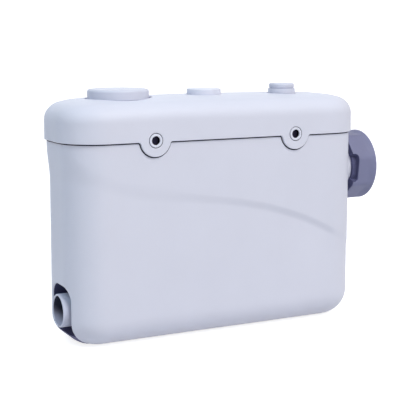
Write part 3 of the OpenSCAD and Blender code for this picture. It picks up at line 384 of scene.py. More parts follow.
def tank_wall(line, marks, z, radius, mouth_r, back, fillet, hole, hole_fillet, shift=0.0):
    """One wall of the tank, outside or inside, with its recess and its neck hole let in. Gives the grids, those
    of the recess's inside, the floor's ring, the ring round the neck and its angles, and the top row."""
    points = wall_points(line, z, radius, shift)
    left, right = (marks[5] + marks[6]) // 2, (marks[7] + marks[8]) // 2
    top = int((z[:, marks[4]] < recess_block).sum())
    low = int((z[:, marks[6]] < neck_low).sum())
    high = int((z[:, marks[6]] < neck_high).sum())
    cove = alcove(line, marks, points, top, radius, mouth_r, back, fillet)
    strip, angle = neck_strip(line, points, left, right, low, high, radius, hole, hole_fillet)
    grids = [points[:, :marks[1] + 1], points[top:, marks[1]:marks[4] + 1], points[:, marks[4]:left + 1],
             points[:low + 1, left:right + 1], points[high:, left:right + 1], points[:, right:], cove[5:], strip]
    floor = np.concatenate([points[0, marks[4]:], points[0, 1:marks[1] + 1], cove[::-1, -1], cove[:, 0]])
    rim = np.concatenate([cove[0], cove[0, :1]])
    end = np.stack([0 * rim + (back, spigot_y, recess_mid), rim])
    return grids, [cove[:6], end], floor, strip[0], angle, points[-1]


tank_line, tank_marks = case_line(joint_x, joint_x)
tank_x = tank_line[:, 0] + wall_r * tank_line[:, 2]
step_z, step_w = sweep(tank_x)
edge_z, edge_in_x, edge_in_z = (np.interp(tank_line[:, 0], joint_edge[:, 0], joint_edge[:, k]) for k in (1, 2, 3))
brow_z = edge_z - joint_gap * edge_in_z
step_low = step_z - 0.62 * step_w
step_top = step_z + np.minimum(0.62 * step_w, 0.8 * (219 - step_z))
foot_turn = np.linspace(0, np.pi / 2, 18)
brow_rise = np.linspace(0, 1, 24)[1:, None]
outside_z = np.concatenate([
    base_r * (1 - np.cos(foot_turn))[:, None] + 0 * tank_x,
    base_r + (step_low - base_r) * np.linspace(0, 1, 26)[1:, None],
    step_low + (step_top - step_low) * np.linspace(0, 1, 19)[1:, None],
    step_top + (brow_z - step_top) * brow_rise])
lean_in = np.zeros_like(outside_z)
lean_in[-len(brow_rise):] = -joint_gap * edge_in_x * brow_rise
outside, recess, under, neck_root, neck_angle, rim_out = tank_wall(
    tank_line, tank_marks, outside_z, outer_radius, recess_r, recess_back, 1.4, neck_r, 2.0, lean_in)
end_z = outside_z[:, tank_marks[6]]
hole_rows = int(((end_z >= neck_low) & (end_z < neck_high)).sum())
inside_z = np.concatenate([
    floor_z + inside_base_r * (1 - np.cos(np.linspace(0, np.pi / 2, 12))),
    np.linspace(floor_z + inside_base_r, neck_low, 16)[1:-1],
    np.linspace(neck_low, neck_high, hole_rows + 1)[:-1], np.linspace(neck_high, rim_z, 4)])[:, None] + 0 * tank_x
inside, housing, tank_floor, bore_root, _, rim_in = tank_wall(
    tank_line, tank_marks, inside_z, inner_radius, recess_r + 3, recess_back + 3, 0.5, neck_bore, 0.2)


def shade_sill_bar(front, rear, top, back, inset=0.4):
    """A low bar across the recess under the hose, a dark form that stands for the shade there, as profiles at
    depths from front to rear. Each goes up just inside the rounded base to the level top and is closed along the
    recess's back, and each end is drawn to a point."""
    z = top * (1 - np.cos(np.linspace(0, np.pi / 2, 12)))
    r = outer_radius(left_x, z)
    reach = corner_y + np.sqrt(np.maximum(r ** 2 - (back + corner_x) ** 2, 0))
    y = np.clip(np.linspace(front, rear, 40)[:, None], -reach, reach)
    face = end_points(-1, along_of(y, r), z + 0 * y, lambda x, h: outer_radius(x, h) - inset)
    inner = face[:, [-1, 0]] * (0, 1, 1) + (back, 0, 0)
    bar = np.concatenate([face, inner, face[:, :1]], 1)
    ends = bar[[0, -1]].mean(1, keepdims=True) + 0 * bar[[0, -1]]
    return np.concatenate([ends[:1], bar, ends[1:]])


def ring_x(x, r, angle, z):
    """A ring of points about an axis along X at height z."""
    return np.stack([x + 0 * angle, r * np.cos(angle), z + r * np.sin(angle)], -1)


neck = np.stack([neck_root] + [ring_x(x, r, neck_angle, neck_z) for x, r in (
    (203.9, neck_r), (204.6, 30.7), (204.9, 30), (204.9, 26.5), (204.6, 25.8), (203.9, neck_bore))] + [bore_root])
groove_in = rim_out.copy()
groove_in[:, :2] -= 2.6 * tank_line[:, 2:]
rim_top = np.stack([tank_line[:, 0] + rim_r * tank_line[:, 2], tank_line[:, 1] + rim_r * tank_line[:, 3],
                    0 * tank_x + rim_z], -1)
joint_groove = np.stack([rim_out, groove_in, rim_top, rim_in])
case_white = moulded("case_white", (0.645, 0.655, 0.755), (0.705, 0.715, 0.82), rough=0.5, gloss=0.35)
# Painted shade: the groove under the lid's lip, the rim's top and its inside are coloured near black for the shade in
# the joint.
joint_painted_shade = moulded("joint_painted_shade", (0.02, 0.017, 0.042), (0.032, 0.028, 0.062), rough=0.6, gloss=0.15)
# Painted shade: inside the recess the colour darkens inward to a dark blue-purple.
recess_painted_shade = moulded("recess_painted_shade", (0.645, 0.655, 0.755), (0.705, 0.715, 0.82), rough=0.5, gloss=0.35,
                      deep=((0.93, 0.37, 0.0), -0.1745, -0.1695, (0.055, 0.06, 0.13)))
# Painted shade: the bar under the hose and its dark purple stand for the shade on the recess's floor.
shade_sill = shade_sill_bar(recess_front - recess_r - 0.8, recess_rear + recess_r + 0.8, shade_sill_z, recess_back + 0.1)
sill_painted_shade = moulded("sill_painted_shade", (0.1, 0.097, 0.19), (0.12, 0.116, 0.22), rough=0.6, gloss=0.2)
tank = skin("tank_shell", outside + inside + housing + [neck], [under, tank_floor],
            lined=[[joint_groove], recess, [shade_sill]])
finish(tank, [case_white, joint_painted_shade, recess_painted_shade, sill_painted_shade], "casing", "casing", "tank")


# Lid. A second moulding in the same plastic, domed along and across, with a rolled lower lip that laps over the
# tank's rim. Four half-round tabs hang from it for its screws, and its top has seats for the big cap, the
# sunk button and the small vent cap.

bow_r, lid_h, lid_r, lid_t = 6250, 46, 44.2, 3  # long dome's radius, height, corner radius and thickness
dome_r, dome_z0, dome_flat = 100, 167, 3  # cross dome's radius, its centre and its level part
shoulder_r, shoulder_in, side_top, crown_in = 21, 23.2, 242, 26  # the lid's upper edge
bush_seat_r, screw_hole_r = 8.6, 6.25  # radii at a tab's face and of the hole through it
cap_x, vent_x, vent_y = -106, 99, -8  # axes of the big cap and the vent cap


def lid_drop(x, z):
    """How far the lid's long dome falls at a place along it: x squared over twice its radius, less towards the
    seam."""
    return x ** 2 / (2 * bow_r) * np.clip((z - seam_z) / lid_h, 0, 1)


def dome_z(x, y, under):
    """Height of the lid's top: level within 3 mm of the corner centres' rectangle, then falling along an arc of
    radius 100, less the long dome's fall. under is how far below the top the skin lies."""
    out = np.hypot(np.maximum(np.abs(x) - corner_x, 0), np.maximum(np.abs(y) - corner_y, 0))
    z = dome_z0 + np.sqrt((dome_r - under) ** 2 - np.maximum(out - dome_flat, 0) ** 2)
    return z - lid_drop(x, z)


def lid_skirt(line, edge, under):
    """The lid's sides as rows by stations, from the lower edge up to 26 mm from the corner centres. The outer
    skin starts with a lip of radius 0.7 and goes up the flat side, an edge arc and the crown; the inner skin
    starts at the edge itself. Also gives the rows where the flat side starts and stops."""
    fx, fy, dx, dy = line.T
    low, into_x, into_z = (np.interp(fx, edge[:, 0], edge[:, k]) for k in (1, 2, 3))
    wall = lid_r - under
    roll = np.linspace(0, np.pi / 2, 8) if under == 0 else np.array([np.pi / 2])
    lip = 0.7 if under == 0 else 0.0
    rows = [(lip * (1 - math.cos(b)), wall - lip * (1 - math.sin(b))) for b in roll]
    start = [np.stack([fx + into_x * q + r * dx, fy + r * dy, low + into_z * q], -1) for q, r in rows]
    first = len(start) - 1
    top = np.stack([fx + wall * dx, fy + wall * dy, side_top - lid_drop(fx + wall * dx, side_top)], -1)
    flat = [start[-1] + (top - start[-1]) * t for t in np.linspace(0, 1, 8)[1:]]
    lean = shoulder_in - dome_flat
    rise = math.sqrt((dome_r - shoulder_r) ** 2 - lean ** 2)
    size = shoulder_r - under
    arc = np.linspace(0, math.atan2(rise, lean), 15)
    profile = [(shoulder_in + size * math.cos(a), dome_z0 + rise + size * math.sin(a)) for a in arc]
    crown = np.linspace(profile[-1][0], crown_in, 4)[1:]
    profile += [(r, dome_z0 + math.sqrt((dome_r - under) ** 2 - (r - dome_flat) ** 2)) for r in crown]
    upper = [np.stack([fx + r * dx, fy + r * dy, z - lid_drop(fx + r * dx, z)], -1) for r, z in profile]
    return np.stack(start + flat + upper), first, first + len(flat)


def disc_strip(loop, angle, middle, r, rows):
    """A flat strip in two coordinates, from a circle about the middle out to a loop round it."""
    ring = middle + r * np.stack([np.cos(angle), np.sin(angle)], -1)
    return ring + (loop - ring) * rows[:, None, None]


lid_line = tank_line
shell, flat_from, flat_to = lid_skirt(lid_line, joint_edge, 0)
lining, in_from, in_to = lid_skirt(lid_line, joint_edge, lid_t)


def station(x, side):
    """The station at a place along the front (side -1) or the back (side 1)."""
    return int(np.argmin(np.abs(lid_line[:, 0] - x) + 50 * np.abs(lid_line[:, 3] - side)))


tabs = [(x, side, *sorted((station(x - tab_reach, side), station(x + tab_reach, side))))
        for x in (-tab_x, tab_x) for side in (1, -1)]
tabs.sort(key=lambda t: t[2])
gaps = [0] + [k for t in tabs for k in t[2:]] + [len(lid_line) - 1]
lid_gaps = []
face_y = corner_y + lid_r
lid_grids = [shell[:flat_from + 1], shell[flat_to:], lining[in_to:], np.stack([shell[0], lining[0]])]
for a, b in zip(gaps[::2], gaps[1::2]):
    lid_grids += [shell[flat_from:flat_to + 1, a:b + 1], lining[in_from:in_to + 1, a:b + 1]]
for x, side, a, b in tabs:
    loops = [np.concatenate([s[f, a:b + 1], s[f:t + 1, b][1:], s[t, a:b + 1][::-1][1:], s[f:t + 1, a][::-1][1:]])
             for s, f, t in ((shell, flat_from, flat_to), (lining, in_from, in_to))]
    round_hole = np.arctan2(loops[0][:, 2] - tab_z, loops[0][:, 0] - x)
    middle = np.array([x, tab_z])
    strips = [disc_strip(loop[:, [0, 2]], round_hole, middle, r, np.linspace(0, 1, 6))
              for loop, r in zip(loops, (bush_seat_r, screw_hole_r))]
    lid_grids += [np.stack([s[..., 0], 0 * s[..., 0] + side * y, s[..., 1]], -1)
                  for s, y in zip(strips, (face_y, face_y - lid_t))]
    rings = np.stack([np.stack([x + r * np.cos(round_hole), side * y + 0 * round_hole,
                                tab_z + r * np.sin(round_hole)], -1) for r, y in (
        (bush_seat_r, face_y), (8.32, 59.08), (8.2, 58.8), (8.2, 57.0), (screw_hole_r, 57.0),
        (screw_hole_r, face_y - lid_t))])
    lid_grids.append(rings[:3])
    lid_gaps.append(rings[2:])
borders = {x: station(x, 1) for x in (left_border, right_border)}
fronts = {x: station(x, -1) for x in (left_border, right_border)}
seats = (
    (cap_x, 0, [(37.5, 0), (37.25, -0.1), (37.06, -0.35), (37.0, -0.7)],
     [(37.0, 264.4), (36.6, 264), (28.4, 264), (28, 263.6), (28, 240), (31, 240), (31, 261), (40, 261)], 40.0),
    (0, 0, [(20.4, 0), (20.05, -0.1), (19.86, -0.3), (19.8, -0.6)],
     [(19.8, 253), (5.05, 253), (5.05, 251), (22.3, 251)], 22.3),
    (vent_x, vent_y, [(17.75, 0), (17.45, -0.06), (17.3, -0.14), (17.25, -0.24)],
     [(17.25, 264), (9, 264), (9, 248), (6, 248), (6, 246), (12, 246)], 12.0))
count = len(lid_line) - 1
runs = (np.arange(borders[left_border], fronts[left_border] + 1),
        np.arange(fronts[left_border], fronts[right_border] + 1),
        np.concatenate([np.arange(borders[right_border], count), np.arange(0, borders[left_border] + 1)]),
        np.arange(fronts[right_border], borders[right_border] + 1))
for (x, y, lip_rows, bore_rows, under_r), order in zip(seats, ("left", "middle", "right")):
    loops = []
    for s in (shell, lining):
        top = s[-1, :, :2]
        rise = np.linspace(-corner_y - crown_in, corner_y + crown_in, 25)[1:-1]
        low_post, high_post = (np.stack([0 * rise + k, rise], -1) for k in (left_border, right_border))
        loops.append({
            "left": np.concatenate([top[runs[0]], low_post, top[runs[0][:1]]]),
            "middle": np.concatenate([top[runs[1]], high_post, top[runs[2]], low_post[::-1], top[runs[1][:1]]]),
            "right": np.concatenate([top[runs[3]], high_post[::-1], top[runs[3][:1]]])}[order])
    round_seat = np.arctan2(loops[0][:, 1] - y, loops[0][:, 0] - x)
    middle = np.array([x, y])
    for loop, r, under in ((loops[0], lip_rows[0][0], 0), (loops[1], under_r, lid_t)):
        strip = disc_strip(loop, round_seat, middle, r, np.linspace(0, 1, 12) ** 1.2)
        lid_grids.append(np.stack([strip[..., 0], strip[..., 1], dome_z(strip[..., 0], strip[..., 1], under)], -1))

    def seat_ring(r, z, on_top=False):
        """A ring about the seat's axis, level at z or following the lid's top at a fall of z."""
        rx, ry = x + r * np.cos(round_seat), y + r * np.sin(round_seat)
        return np.stack([rx, ry, dome_z(rx, ry, 0) + z if on_top else z + 0 * rx], -1)
    last = seat_ring(under_r, 0)
    last[:, 2] = dome_z(last[:, 0], last[:, 1], lid_t)
    lid_grids.append(np.stack([seat_ring(r, z, True) for r, z in lip_rows]
                              + [seat_ring(r, z) for r, z in bore_rows] + [last]))
# The walls of the tabs' holes round the ferrules take the same near-black painted shade as the joint.
lid = skin("lid_shell", lid_grids, lined=[lid_gaps])
finish(lid, [case_white, joint_painted_shade], "casing", "casing", "lid")


# Screw ferrules. Four plain moulded bushes pushed into the tabs, each with a flat rim in a shallow recess and a
# deep counterbore that hides the screw's head, its walls painted near black as shade. The two at the back are
# taken to match the front pair.

def turned(profile, count=96):
    """A profile of radius and height turned about an axis: a grid of radius times cosine, radius times sine
    and height, with one column repeated to close it."""
    angle = np.linspace(0, 2 * np.pi, count + 1)
    r, h = np.asarray(profile, float).T
    return np.stack([r[:, None] * np.cos(angle), r[:, None] * np.sin(angle), h[:, None] + 0 * angle], -1)


def curve(r0, h0, size, start, stop, steps=7):
    """Profile points on an arc about r0 and h0, between two angles in degrees from outwards."""
    a = np.radians(np.linspace(start, stop, steps))
    return list(zip(r0 + size * np.cos(a), h0 + size * np.sin(a)))


def facing_y(grid, x, z, side):
    """Lays a turned grid on its side at x and z: its height runs out along Y, to the front for side -1."""
    return np.stack([x + grid[..., 0], side * grid[..., 2], z + grid[..., 1]], -1)


bush = turned([(2.45, 45.6), *curve(6.0, 45.8, 0.2, -90, 0, 3), (6.2, 57.05), (7.3, 57.05),
               *curve(7.3, 57.25, 0.2, -90, 0, 3), *curve(6.9, 58.9, 0.6, 0, 90), (6.1, 59.5),
               *curve(5.4, 58.95, 0.55, 90, 180), (4.85, 57.8)], 72)
# Painted shade: the counterbores are coloured near black for the shade deep in them.
counterbore_painted_shade = moulded("counterbore_painted_shade", (0.003, 0.003, 0.006), (0.006, 0.006, 0.01), rough=0.85, gloss=0.03)
counterbore = turned([(4.85, 57.8), (4.85, 48.9), *curve(4.55, 48.9, 0.3, 0, -90, 3), (2.45, 48.6), (2.45, 45.6)], 72)
screw_places = [(x, tab_z, side) for x in (-tab_x, tab_x) for side in (-1, 1)]
ferrules = skin("ferrules", [facing_y(bush, *p) for p in screw_places],
                lined=[[facing_y(counterbore, *p) for p in screw_places]])
fitting_white = moulded("fitting_white", (0.70, 0.715, 0.82), (0.75, 0.765, 0.87), rough=0.48, depth=0.00002,
                        gloss=0.35)
finish(ferrules, [fitting_white, counterbore_painted_shade], "casing", "fitting", "screw_ferrules")


# Outlet cap. A broad turned-looking moulded lid on the second outlet, with a softly rounded top edge. Its
# plug with a rubber ring sits in the port below, and it locks with a quarter turn.

def upright(profile, x, y=0, count=144):
    """A profile turned about an upright axis at x and y."""
    return turned(profile, count) + (x, y, 0)


cap_white = moulded("cap_white", (0.6, 0.615, 0.725), (0.65, 0.665, 0.775), rough=0.48, depth=0.00002, gloss=0.35)
cap = skin("outlet_cap_shell", [upright(
    [(0, 275.5), (15, 275.47), (26, 275.4), *curve(31.0, 272.5, 3.0, 88, 0, 13), (34, 265.0),
     *curve(33.5, 264.8, 0.5, 0, -90, 5), (27.7, 264.3), (27.7, 255.6), (26.4, 254.6), (26.4, 253.6), (27.7, 252.6),
     (27.7, 250.8), (27.2, 250.3), (22.7, 250.3), (22.7, 264.3), (0, 264.3)], cap_x)])
finish(cap, [cap_white], "outlet_cap_body", "fitting", "outlet_cap")


# Test button. A round press button moulded in white plastic, in a close-fitting well of the lid. A steel clip
# on its stem keeps it from coming out, and a spring round the stem holds it up.

button = skin("test_button_shell", [upright(
    [(0, 273.6), (12, 273.57), (17.2, 273.5), *curve(17.9, 272.0, 1.6, 86, 0, 9), (19.5, 262.4),
     *curve(19.1, 262.4, 0.4, 0, -90, 4), (16.5, 262), (16.5, 270.3), (5, 270.3), (5, 244.6), (3, 244.4), (3, 240.5),
     (2.6, 240.2), (0, 240.2)], 0)])
finish(button, [fitting_white], "test_button_body", "fitting", "test_button")


# Vent cap. A small cap in two tiers with a narrow groove between them, over the charcoal air filter. It lifts
# out of its seat after a quarter turn.

vent = skin("vent_cap_shell", [upright(
    [(0, 278.0), (7, 277.97), (11.6, 277.9), *curve(12.7, 275.9, 2.0, 88, 0, 10), (14.7, 272.9), (14.5, 272.6),
     (13.9, 272.6), (13.9, 271.8), (15.3, 271.8), *curve(15.35, 271.4, 0.4, 90, 0, 4), (15.75, 264.6),
     (15.45, 264.3), (8.95, 264.3), (8.95, 255.5), (8.75, 255.3), (6, 255.3), (6, 270.3), (0, 270.3)],
    vent_x, vent_y, 120)])
finish(vent, [cap_white], "vent_cap_body", "fitting", "vent_cap")


# Inlet spigot. A thin plain tube that stands in the recess at the left end, level with the tank's end. A
# flange and a rubber seal hold it in the wall, and a rubber flap behind it stops the water running back.

def facing_x(grid, y, z):
    """Lays a turned grid along X at depth y and height z."""
    return np.stack([grid[..., 2], y + grid[..., 0], z + grid[..., 1]], -1)


spigot_z, bore_r, flange_end, lip_x = 36.6, 16.05, -139.4, -180.9  # its axis, its bore and its two ends
bore = turned([(bore_r, x) for x in (flange_end, -150.0, -160.0, -170.0, lip_x)], 96)
tube = turned([*curve(17.05, lip_x, 1.0, 180, 270, 5), *curve(17.25, lip_x, 1.0, 270, 360, 5), (18.25, -147.2),
               (19.05, -146.75), (19.05, -142.3), (23.25, -142.3), (23.25, flange_end), (bore_r, flange_end)], 96)
spigot = skin("inlet_spigot", [facing_x(tube, spigot_y, spigot_z)],
              lined=[[facing_x(bore, spigot_y, spigot_z)]])
spigot_white = moulded("spigot_white", (0.55, 0.57, 0.7), (0.6, 0.62, 0.75), rough=0.48, depth=0.00002, gloss=0.35)
# Painted shade: the hose's bore goes over to a dark blue-purple towards its top and inward, for the shade inside it.
bore_painted_shade = moulded("bore_painted_shade", (0.59, 0.575, 0.73), (0.64, 0.625, 0.78), rough=0.48, depth=0.00002, gloss=0.35,
                    deep=((0.6, 0.0, 0.8), -0.0905, -0.075, (0.022, 0.026, 0.05)))
finish(spigot, [spigot_white, bore_painted_shade], "casing", "fitting", "side_spigot")


# Union nut. A slate-grey moulded nut that presses the waste pipe's cone seal on the neck. It is eight sided
# where a hand or strap wrench grips it, runs out into a round flange, and has four slots in its wall side.

flat_r, flange_r, slot_r, thread_r = 39.5, 42, 34.5, 31.05  # half across its flats, flange, slots' floor, bore
wall_end, tooth_end, slot_end, pipe_end = 183.2, 188.0, 189.7, 214.7  # places along the nut
slot_half, slot_columns = math.radians(24.4), 25  # half a slot's angle, and columns across each slot and tooth


def nut_radius(x, angle):
    """Outside of the nut: an octagon 79 across its flats with softened corners at its wall side, which swells
    smoothly into a round flange of radius 42 by its outer end."""
    off = np.abs((angle - math.radians(7) + np.pi / 8) % (np.pi / 4) - np.pi / 8)
    flats = np.minimum(flat_r / np.cos(off), flange_r + 0.2 - 0.2 * (off / (np.pi / 8)) ** 2)
    return flats + (flange_r - flats) * ease((x - 204) / 10)


def nut_columns():
    """Angles round the nut, with close pairs at the sides of each slot, and which of them lie in a slot."""
    slot = np.linspace(-slot_half, slot_half, slot_columns)
    tooth = np.linspace(slot_half, np.pi / 2 - slot_half, slot_columns)
    one = np.concatenate([slot, tooth])
    inside = np.repeat([True, False], slot_columns)
    whole = (one + np.arange(4)[:, None] * np.pi / 2).ravel()
    return np.append(whole, whole[0] + 2 * np.pi), np.append(np.tile(inside, 4), True)


def nut_grid():
    """The nut as rows round its section by columns round its axis. In a slot the wall side starts 1 mm back, at
    a floor of radius 34.5, and steps up to the outside 6.5 mm from the end, in an arc near the slot's corners.
    Gives the grids of the body and those of the slots' insides."""
    angle, slotted = nut_columns()
    middle_r, corner_r = 40, 3
    across = np.abs((angle + np.pi / 4) % (np.pi / 2) - np.pi / 4) * middle_r
    corner = np.clip(across - (slot_half * middle_r - corner_r), 0, corner_r)
    start = np.where(slotted, wall_end + 1, wall_end)
    step = np.where(slotted, slot_end - corner_r + np.sqrt(corner_r ** 2 - corner ** 2), tooth_end)
    edge = np.where(slotted, slot_r, nut_radius(wall_end, angle))
    rise = np.where(slotted, nut_radius(slot_end, angle), nut_radius(tooth_end, angle))
    rows = [(start, thread_r + 0 * angle), (start, edge - 0.7), (start + 0.2, edge - 0.2), (start + 0.7, edge),
            (step - 0.3, np.where(slotted, edge, nut_radius(tooth_end, angle))),
            (step, np.where(slotted, edge + 0.3, rise)),
            (step, rise - np.where(slotted, 0.7, 0)), (step + 0.2, rise - np.where(slotted, 0.2, 0)),
            (step + 0.7, rise)]
    rows += [(step + 0.7 + (213.4 - step - 0.7) * t, None) for t in np.linspace(0, 1, 15)[1:]]
    rows = [(x, nut_radius(x, angle) if r is None else r) for x, r in rows]
    rows += [(x + 0 * angle, r + 0 * angle) for x, r in (
        (214.0, 41.8), (214.5, 41.3), (pipe_end, 40.6), (pipe_end, 28.2), (214.5, 27.4), (214.0, 27.0), (211.2, 27.0),
        (211.2, thread_r), (195.0, thread_r))]
    rows.append(rows[0])
    grid = np.stack([np.stack([x, r * np.cos(angle), neck_z + r * np.sin(angle)], -1) for x, r in rows])
    n = slot_columns
    starts = range(0, 8 * n, 2 * n)
    teeth, ends = ([grid[a:b, k + n:k + 2 * n] for k in starts] for a, b in ((1, 7), (0, 2)))
    slots = [grid[:7, max(k - 1, 0):k + n + 1] for k in starts]
    return [grid[6:], *teeth], [*ends, *slots, grid[:7, 8 * n - 1:]]


nut_body, nut_slots = nut_grid()
nut = skin("union_nut_shell", nut_body, crisp=30, lined=[nut_slots])
nut_slate = moulded("nut_slate", (0.18, 0.188, 0.31), (0.205, 0.213, 0.345), rough=0.55, grain=900.0, depth=0.00004,
                    gloss=0.3)
# Painted shade: the slots' insides and the teeth's end faces on the wall side are coloured a dark slate for the shade
# in them.
nut_shade = moulded("nut_shade", (0.075, 0.078, 0.16), (0.092, 0.096, 0.19), rough=0.6, grain=900.0, depth=0.00004,
                    gloss=0.2)
finish(nut, [nut_slate, nut_shade], "union_nut_body", "nut_plastic", "union_nut")


# Feet and cable gland. Four low rubber discs let into the underside, and a black rubber gland with a
# six-sided grip on the back, through which the mains lead would pass.

def rubbery(name, low, high):
    """Moulded rubber: a dull dark surface with a powdery bloom and a soft fine bump."""
    material, place = blank(name)
    bloom = place.make("ShaderNodeTexNoise", {}, {"Vector": place, "Scale": 90.0, "Detail": 4.0})
    fine = place.make("ShaderNodeTexNoise", {}, {"Vector": place, "Scale": 1600.0, "Detail": 2.0})
    bump = place.make("ShaderNodeBump", {}, {"Strength": 0.4, "Distance": 0.00005, "Height": fine})
    surface = place.make("ShaderNodeBsdfPrincipled", {}, {
        "Base Color": colour_between(low, high, bloom), "Roughness": 0.62 + bloom * 0.2,
        "Specular IOR Level": 0.35, "Normal": bump})
    place.make("ShaderNodeOutputMaterial", {}, {"Surface": surface})
    return material


rubber = rubbery("black_rubber", (0.028, 0.028, 0.032), (0.055, 0.055, 0.06))
pad = turned([(0, 2), (7, 2), (7, -1.0), *curve(6.5, -1.0, 0.5, 0, -90, 5), (5, -1.5), (4.6, -1.2), (0, -1.2)], 48)
feet = skin("foot_pads", [pad + (x, y, 0) for x in (-130, 130) for y in (-14, 14)])
finish(feet, [rubber], "casing", "rubber", "rubber_feet")


def six_sided(across, angle):
    """Radius of a hexagon of that size across its corners, at an angle, with its corners eased."""
    off = (angle + np.pi / 6) % (np.pi / 3) - np.pi / 6
    return np.minimum(across / 2 * math.cos(math.pi / 6) / np.cos(off), across / 2 - 0.15)


gland_low, gland_high = (np.array(c) * 1000 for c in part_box("cable_gland"))
round_gland = np.linspace(0, 2 * np.pi, 97)
grip = six_sided(18, round_gland)
gland_rows = [(3.5, gland_low[1]), (5.8, gland_low[1]), (5.8, 54.9), (grip - 1, 54.9), (grip, 55.6), (grip, 60.6),
              (grip - 0.9, 61.4), (7.0, 61.5), (7.0, 63.0), *curve(5.4, 66.2, 1.6, 15, 75, 5),
              (4.8, gland_high[1]), (3.5, gland_high[1] - 0.5), (3.5, gland_low[1])]
gland_x = (gland_low[0] + gland_high[0]) / 2
gland_z = (gland_low[2] + gland_high[2]) / 2
gland = skin("cable_gland_shell", [np.stack([np.stack([
    gland_x + r * np.cos(round_gland), y + 0 * round_gland, gland_z + r * np.sin(round_gland)], -1)
    for r, y in gland_rows])], crisp=30)
finish(gland, [rubber], "casing", "rubber", "cable_gland")


# Works inside the case. Their solids are right as they are, so they keep their shapes and get finishes: rubber
# seals, rolled steel, the stacked motor core, lacquered windings, and grey, black and white mouldings.

def dress(material, *names):
    """Puts a finish on CAD nodes through their objects' material slots."""
    for name in names:
        for place in nodes[name].material_slots:
            place.material = material


def rolled_steel(name, tint, rough):
    """Bright steel with the fine drawn lines of rolling or turning, and slow changes in its shine."""
    material, place = blank(name)
    stretch = place.make("ShaderNodeMapping", {}, {"Vector": place, "Scale": (300.0, 300.0, 4000.0)})
    lines = place.make("ShaderNodeTexNoise", {}, {"Vector": stretch, "Scale": 1.0, "Detail": 3.0})
    cloud = place.make("ShaderNodeTexNoise", {}, {"Vector": place, "Scale": 60.0, "Detail": 3.0})
    bump = place.make("ShaderNodeBump", {}, {"Strength": 0.25, "Distance": 0.00003, "Height": lines})
    surface = place.make("ShaderNodeBsdfPrincipled", {}, {
        "Base Color": colour_between(tuple(0.85 * t for t in tint), tint, lines), "Metallic": 1.0,
        "Roughness": rough + cloud * 0.12 + lines * 0.08, "Normal": bump})
    place.make("ShaderNodeOutputMaterial", {}, {"Surface": surface})
    return material


def stacked(name, low, high, scale, metallic, rough):
    """Fine level layers, as in a stack of sheets or a wound coil: bands along Z, with a little wander."""
    material, place = blank(name)
    bands = place.make("ShaderNodeTexWave", {"bands_direction": "Z"},
                       {"Vector": place, "Scale": scale, "Distortion": 0.6, "Detail": 1.0}, out=1)
    bump = place.make("ShaderNodeBump", {}, {"Strength": 0.6, "Distance": 0.0002, "Height": bands})
    surface = place.make("ShaderNodeBsdfPrincipled", {}, {
        "Base Color": colour_between(low, high, bands), "Metallic": metallic, "Roughness": rough + bands * 0.1,
        "Normal": bump})
    place.make("ShaderNodeOutputMaterial", {}, {"Surface": surface})
    return material


def open_foam(name):
    """Charcoal foam: dark open cells with slightly paler walls."""
    material, place = blank(name)
    cells = place.make("ShaderNodeTexVoronoi", {}, {"Vector": place, "Scale": 900.0})
    bump = place.make("ShaderNodeBump", {}, {"Strength": 0.9, "Distance": 0.0006, "Height": cells})
    surface = place.make("ShaderNodeBsdfPrincipled", {}, {
        "Base Color": colour_between((0.012, 0.012, 0.012), (0.06, 0.06, 0.06), cells),
        "Roughness": 0.9, "Normal": bump})
    place.make("ShaderNodeOutputMaterial", {}, {"Surface": surface})
    return material


steel = rolled_steel("rolled_steel", (0.62, 0.63, 0.65), 0.24)
dress(rolled_steel("blackened_steel", (0.006, 0.006, 0.008), 0.6), "lid_screws")
dress(steel, "button_clip", "inlet_flap_pin", "deck_screws", "motor_screws", "shaft",
      "upper_bearing", "lower_bearing", "cutter", "impeller_nut", "check_flap_pin")
dress(rubber, "lid_gasket", "outlet_cap_ring", "spigot_seal", "inlet_flap", "cone_seal", "gland_nut", "shaft_seal",
      "check_flap")
dress(stacked("sheet_stack", (0.13, 0.13, 0.14), (0.3, 0.3, 0.31), 628.0, 1.0, 0.4), "stator", "rotor")
dress(stacked("wound_copper", (0.32, 0.11, 0.03), (0.62, 0.27, 0.1), 400.0, 1.0, 0.25), "windings")
dress(open_foam("charcoal_foam"), "vent_filter")
inner_grey = moulded("inner_grey", (0.40, 0.41, 0.45), (0.47, 0.48, 0.52), rough=0.45, depth=0.00004)
inner_black = moulded("inner_black", (0.022, 0.022, 0.025), (0.045, 0.045, 0.05), rough=0.4, depth=0.00004)
inner_white = moulded("inner_white", (0.72, 0.72, 0.70), (0.8, 0.8, 0.78), rough=0.28, depth=0.00001)
dress(inner_grey, "motor_deck", "motor_can", "basket", "volute", "discharge_pipe", "check_valve", "riser",
      "pressure_tube", "impeller")
dress(inner_black, "pressure_switch", "microswitch", "test_switch", "capacitor_saddle")
dress(inner_white, "slip_washer", "pressure_plunger", "capacitor", "terminal_block")


# Button spring. A coil of bright steel wire round the button's stem, between the well's floor and the button.

def coil(turns, low, high, across, wire):
    """A wire wound round an upright axis: circles whose middles climb along a helix from low to high, the first
    and the last of them drawn to a point."""
    climb = np.linspace(0, 1, 48 * turns + 1)[:, None]
    around = np.linspace(0, 2 * np.pi, 13)
    thick = wire / 2 * ((climb > 0) & (climb < 1))
    r = (across - wire) / 2 + thick * np.cos(around)
    turn = 2 * np.pi * turns * climb
    return np.stack([r * np.cos(turn), r * np.sin(turn), low + (high - low) * climb + thick * np.sin(around)], -1)


spring = skin("button_coil", [coil(6, 254.1, 269.2, 20, 1.6)], crisp=60)
finish(spring, [steel], "casing", "steel", "button_spring")
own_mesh(spring)


# Studio. A white floor that runs up into a white sweep behind, light from all round, one large soft lamp from the
# upper right in front, weak ones at the left and behind, and the camera at the photograph's place.

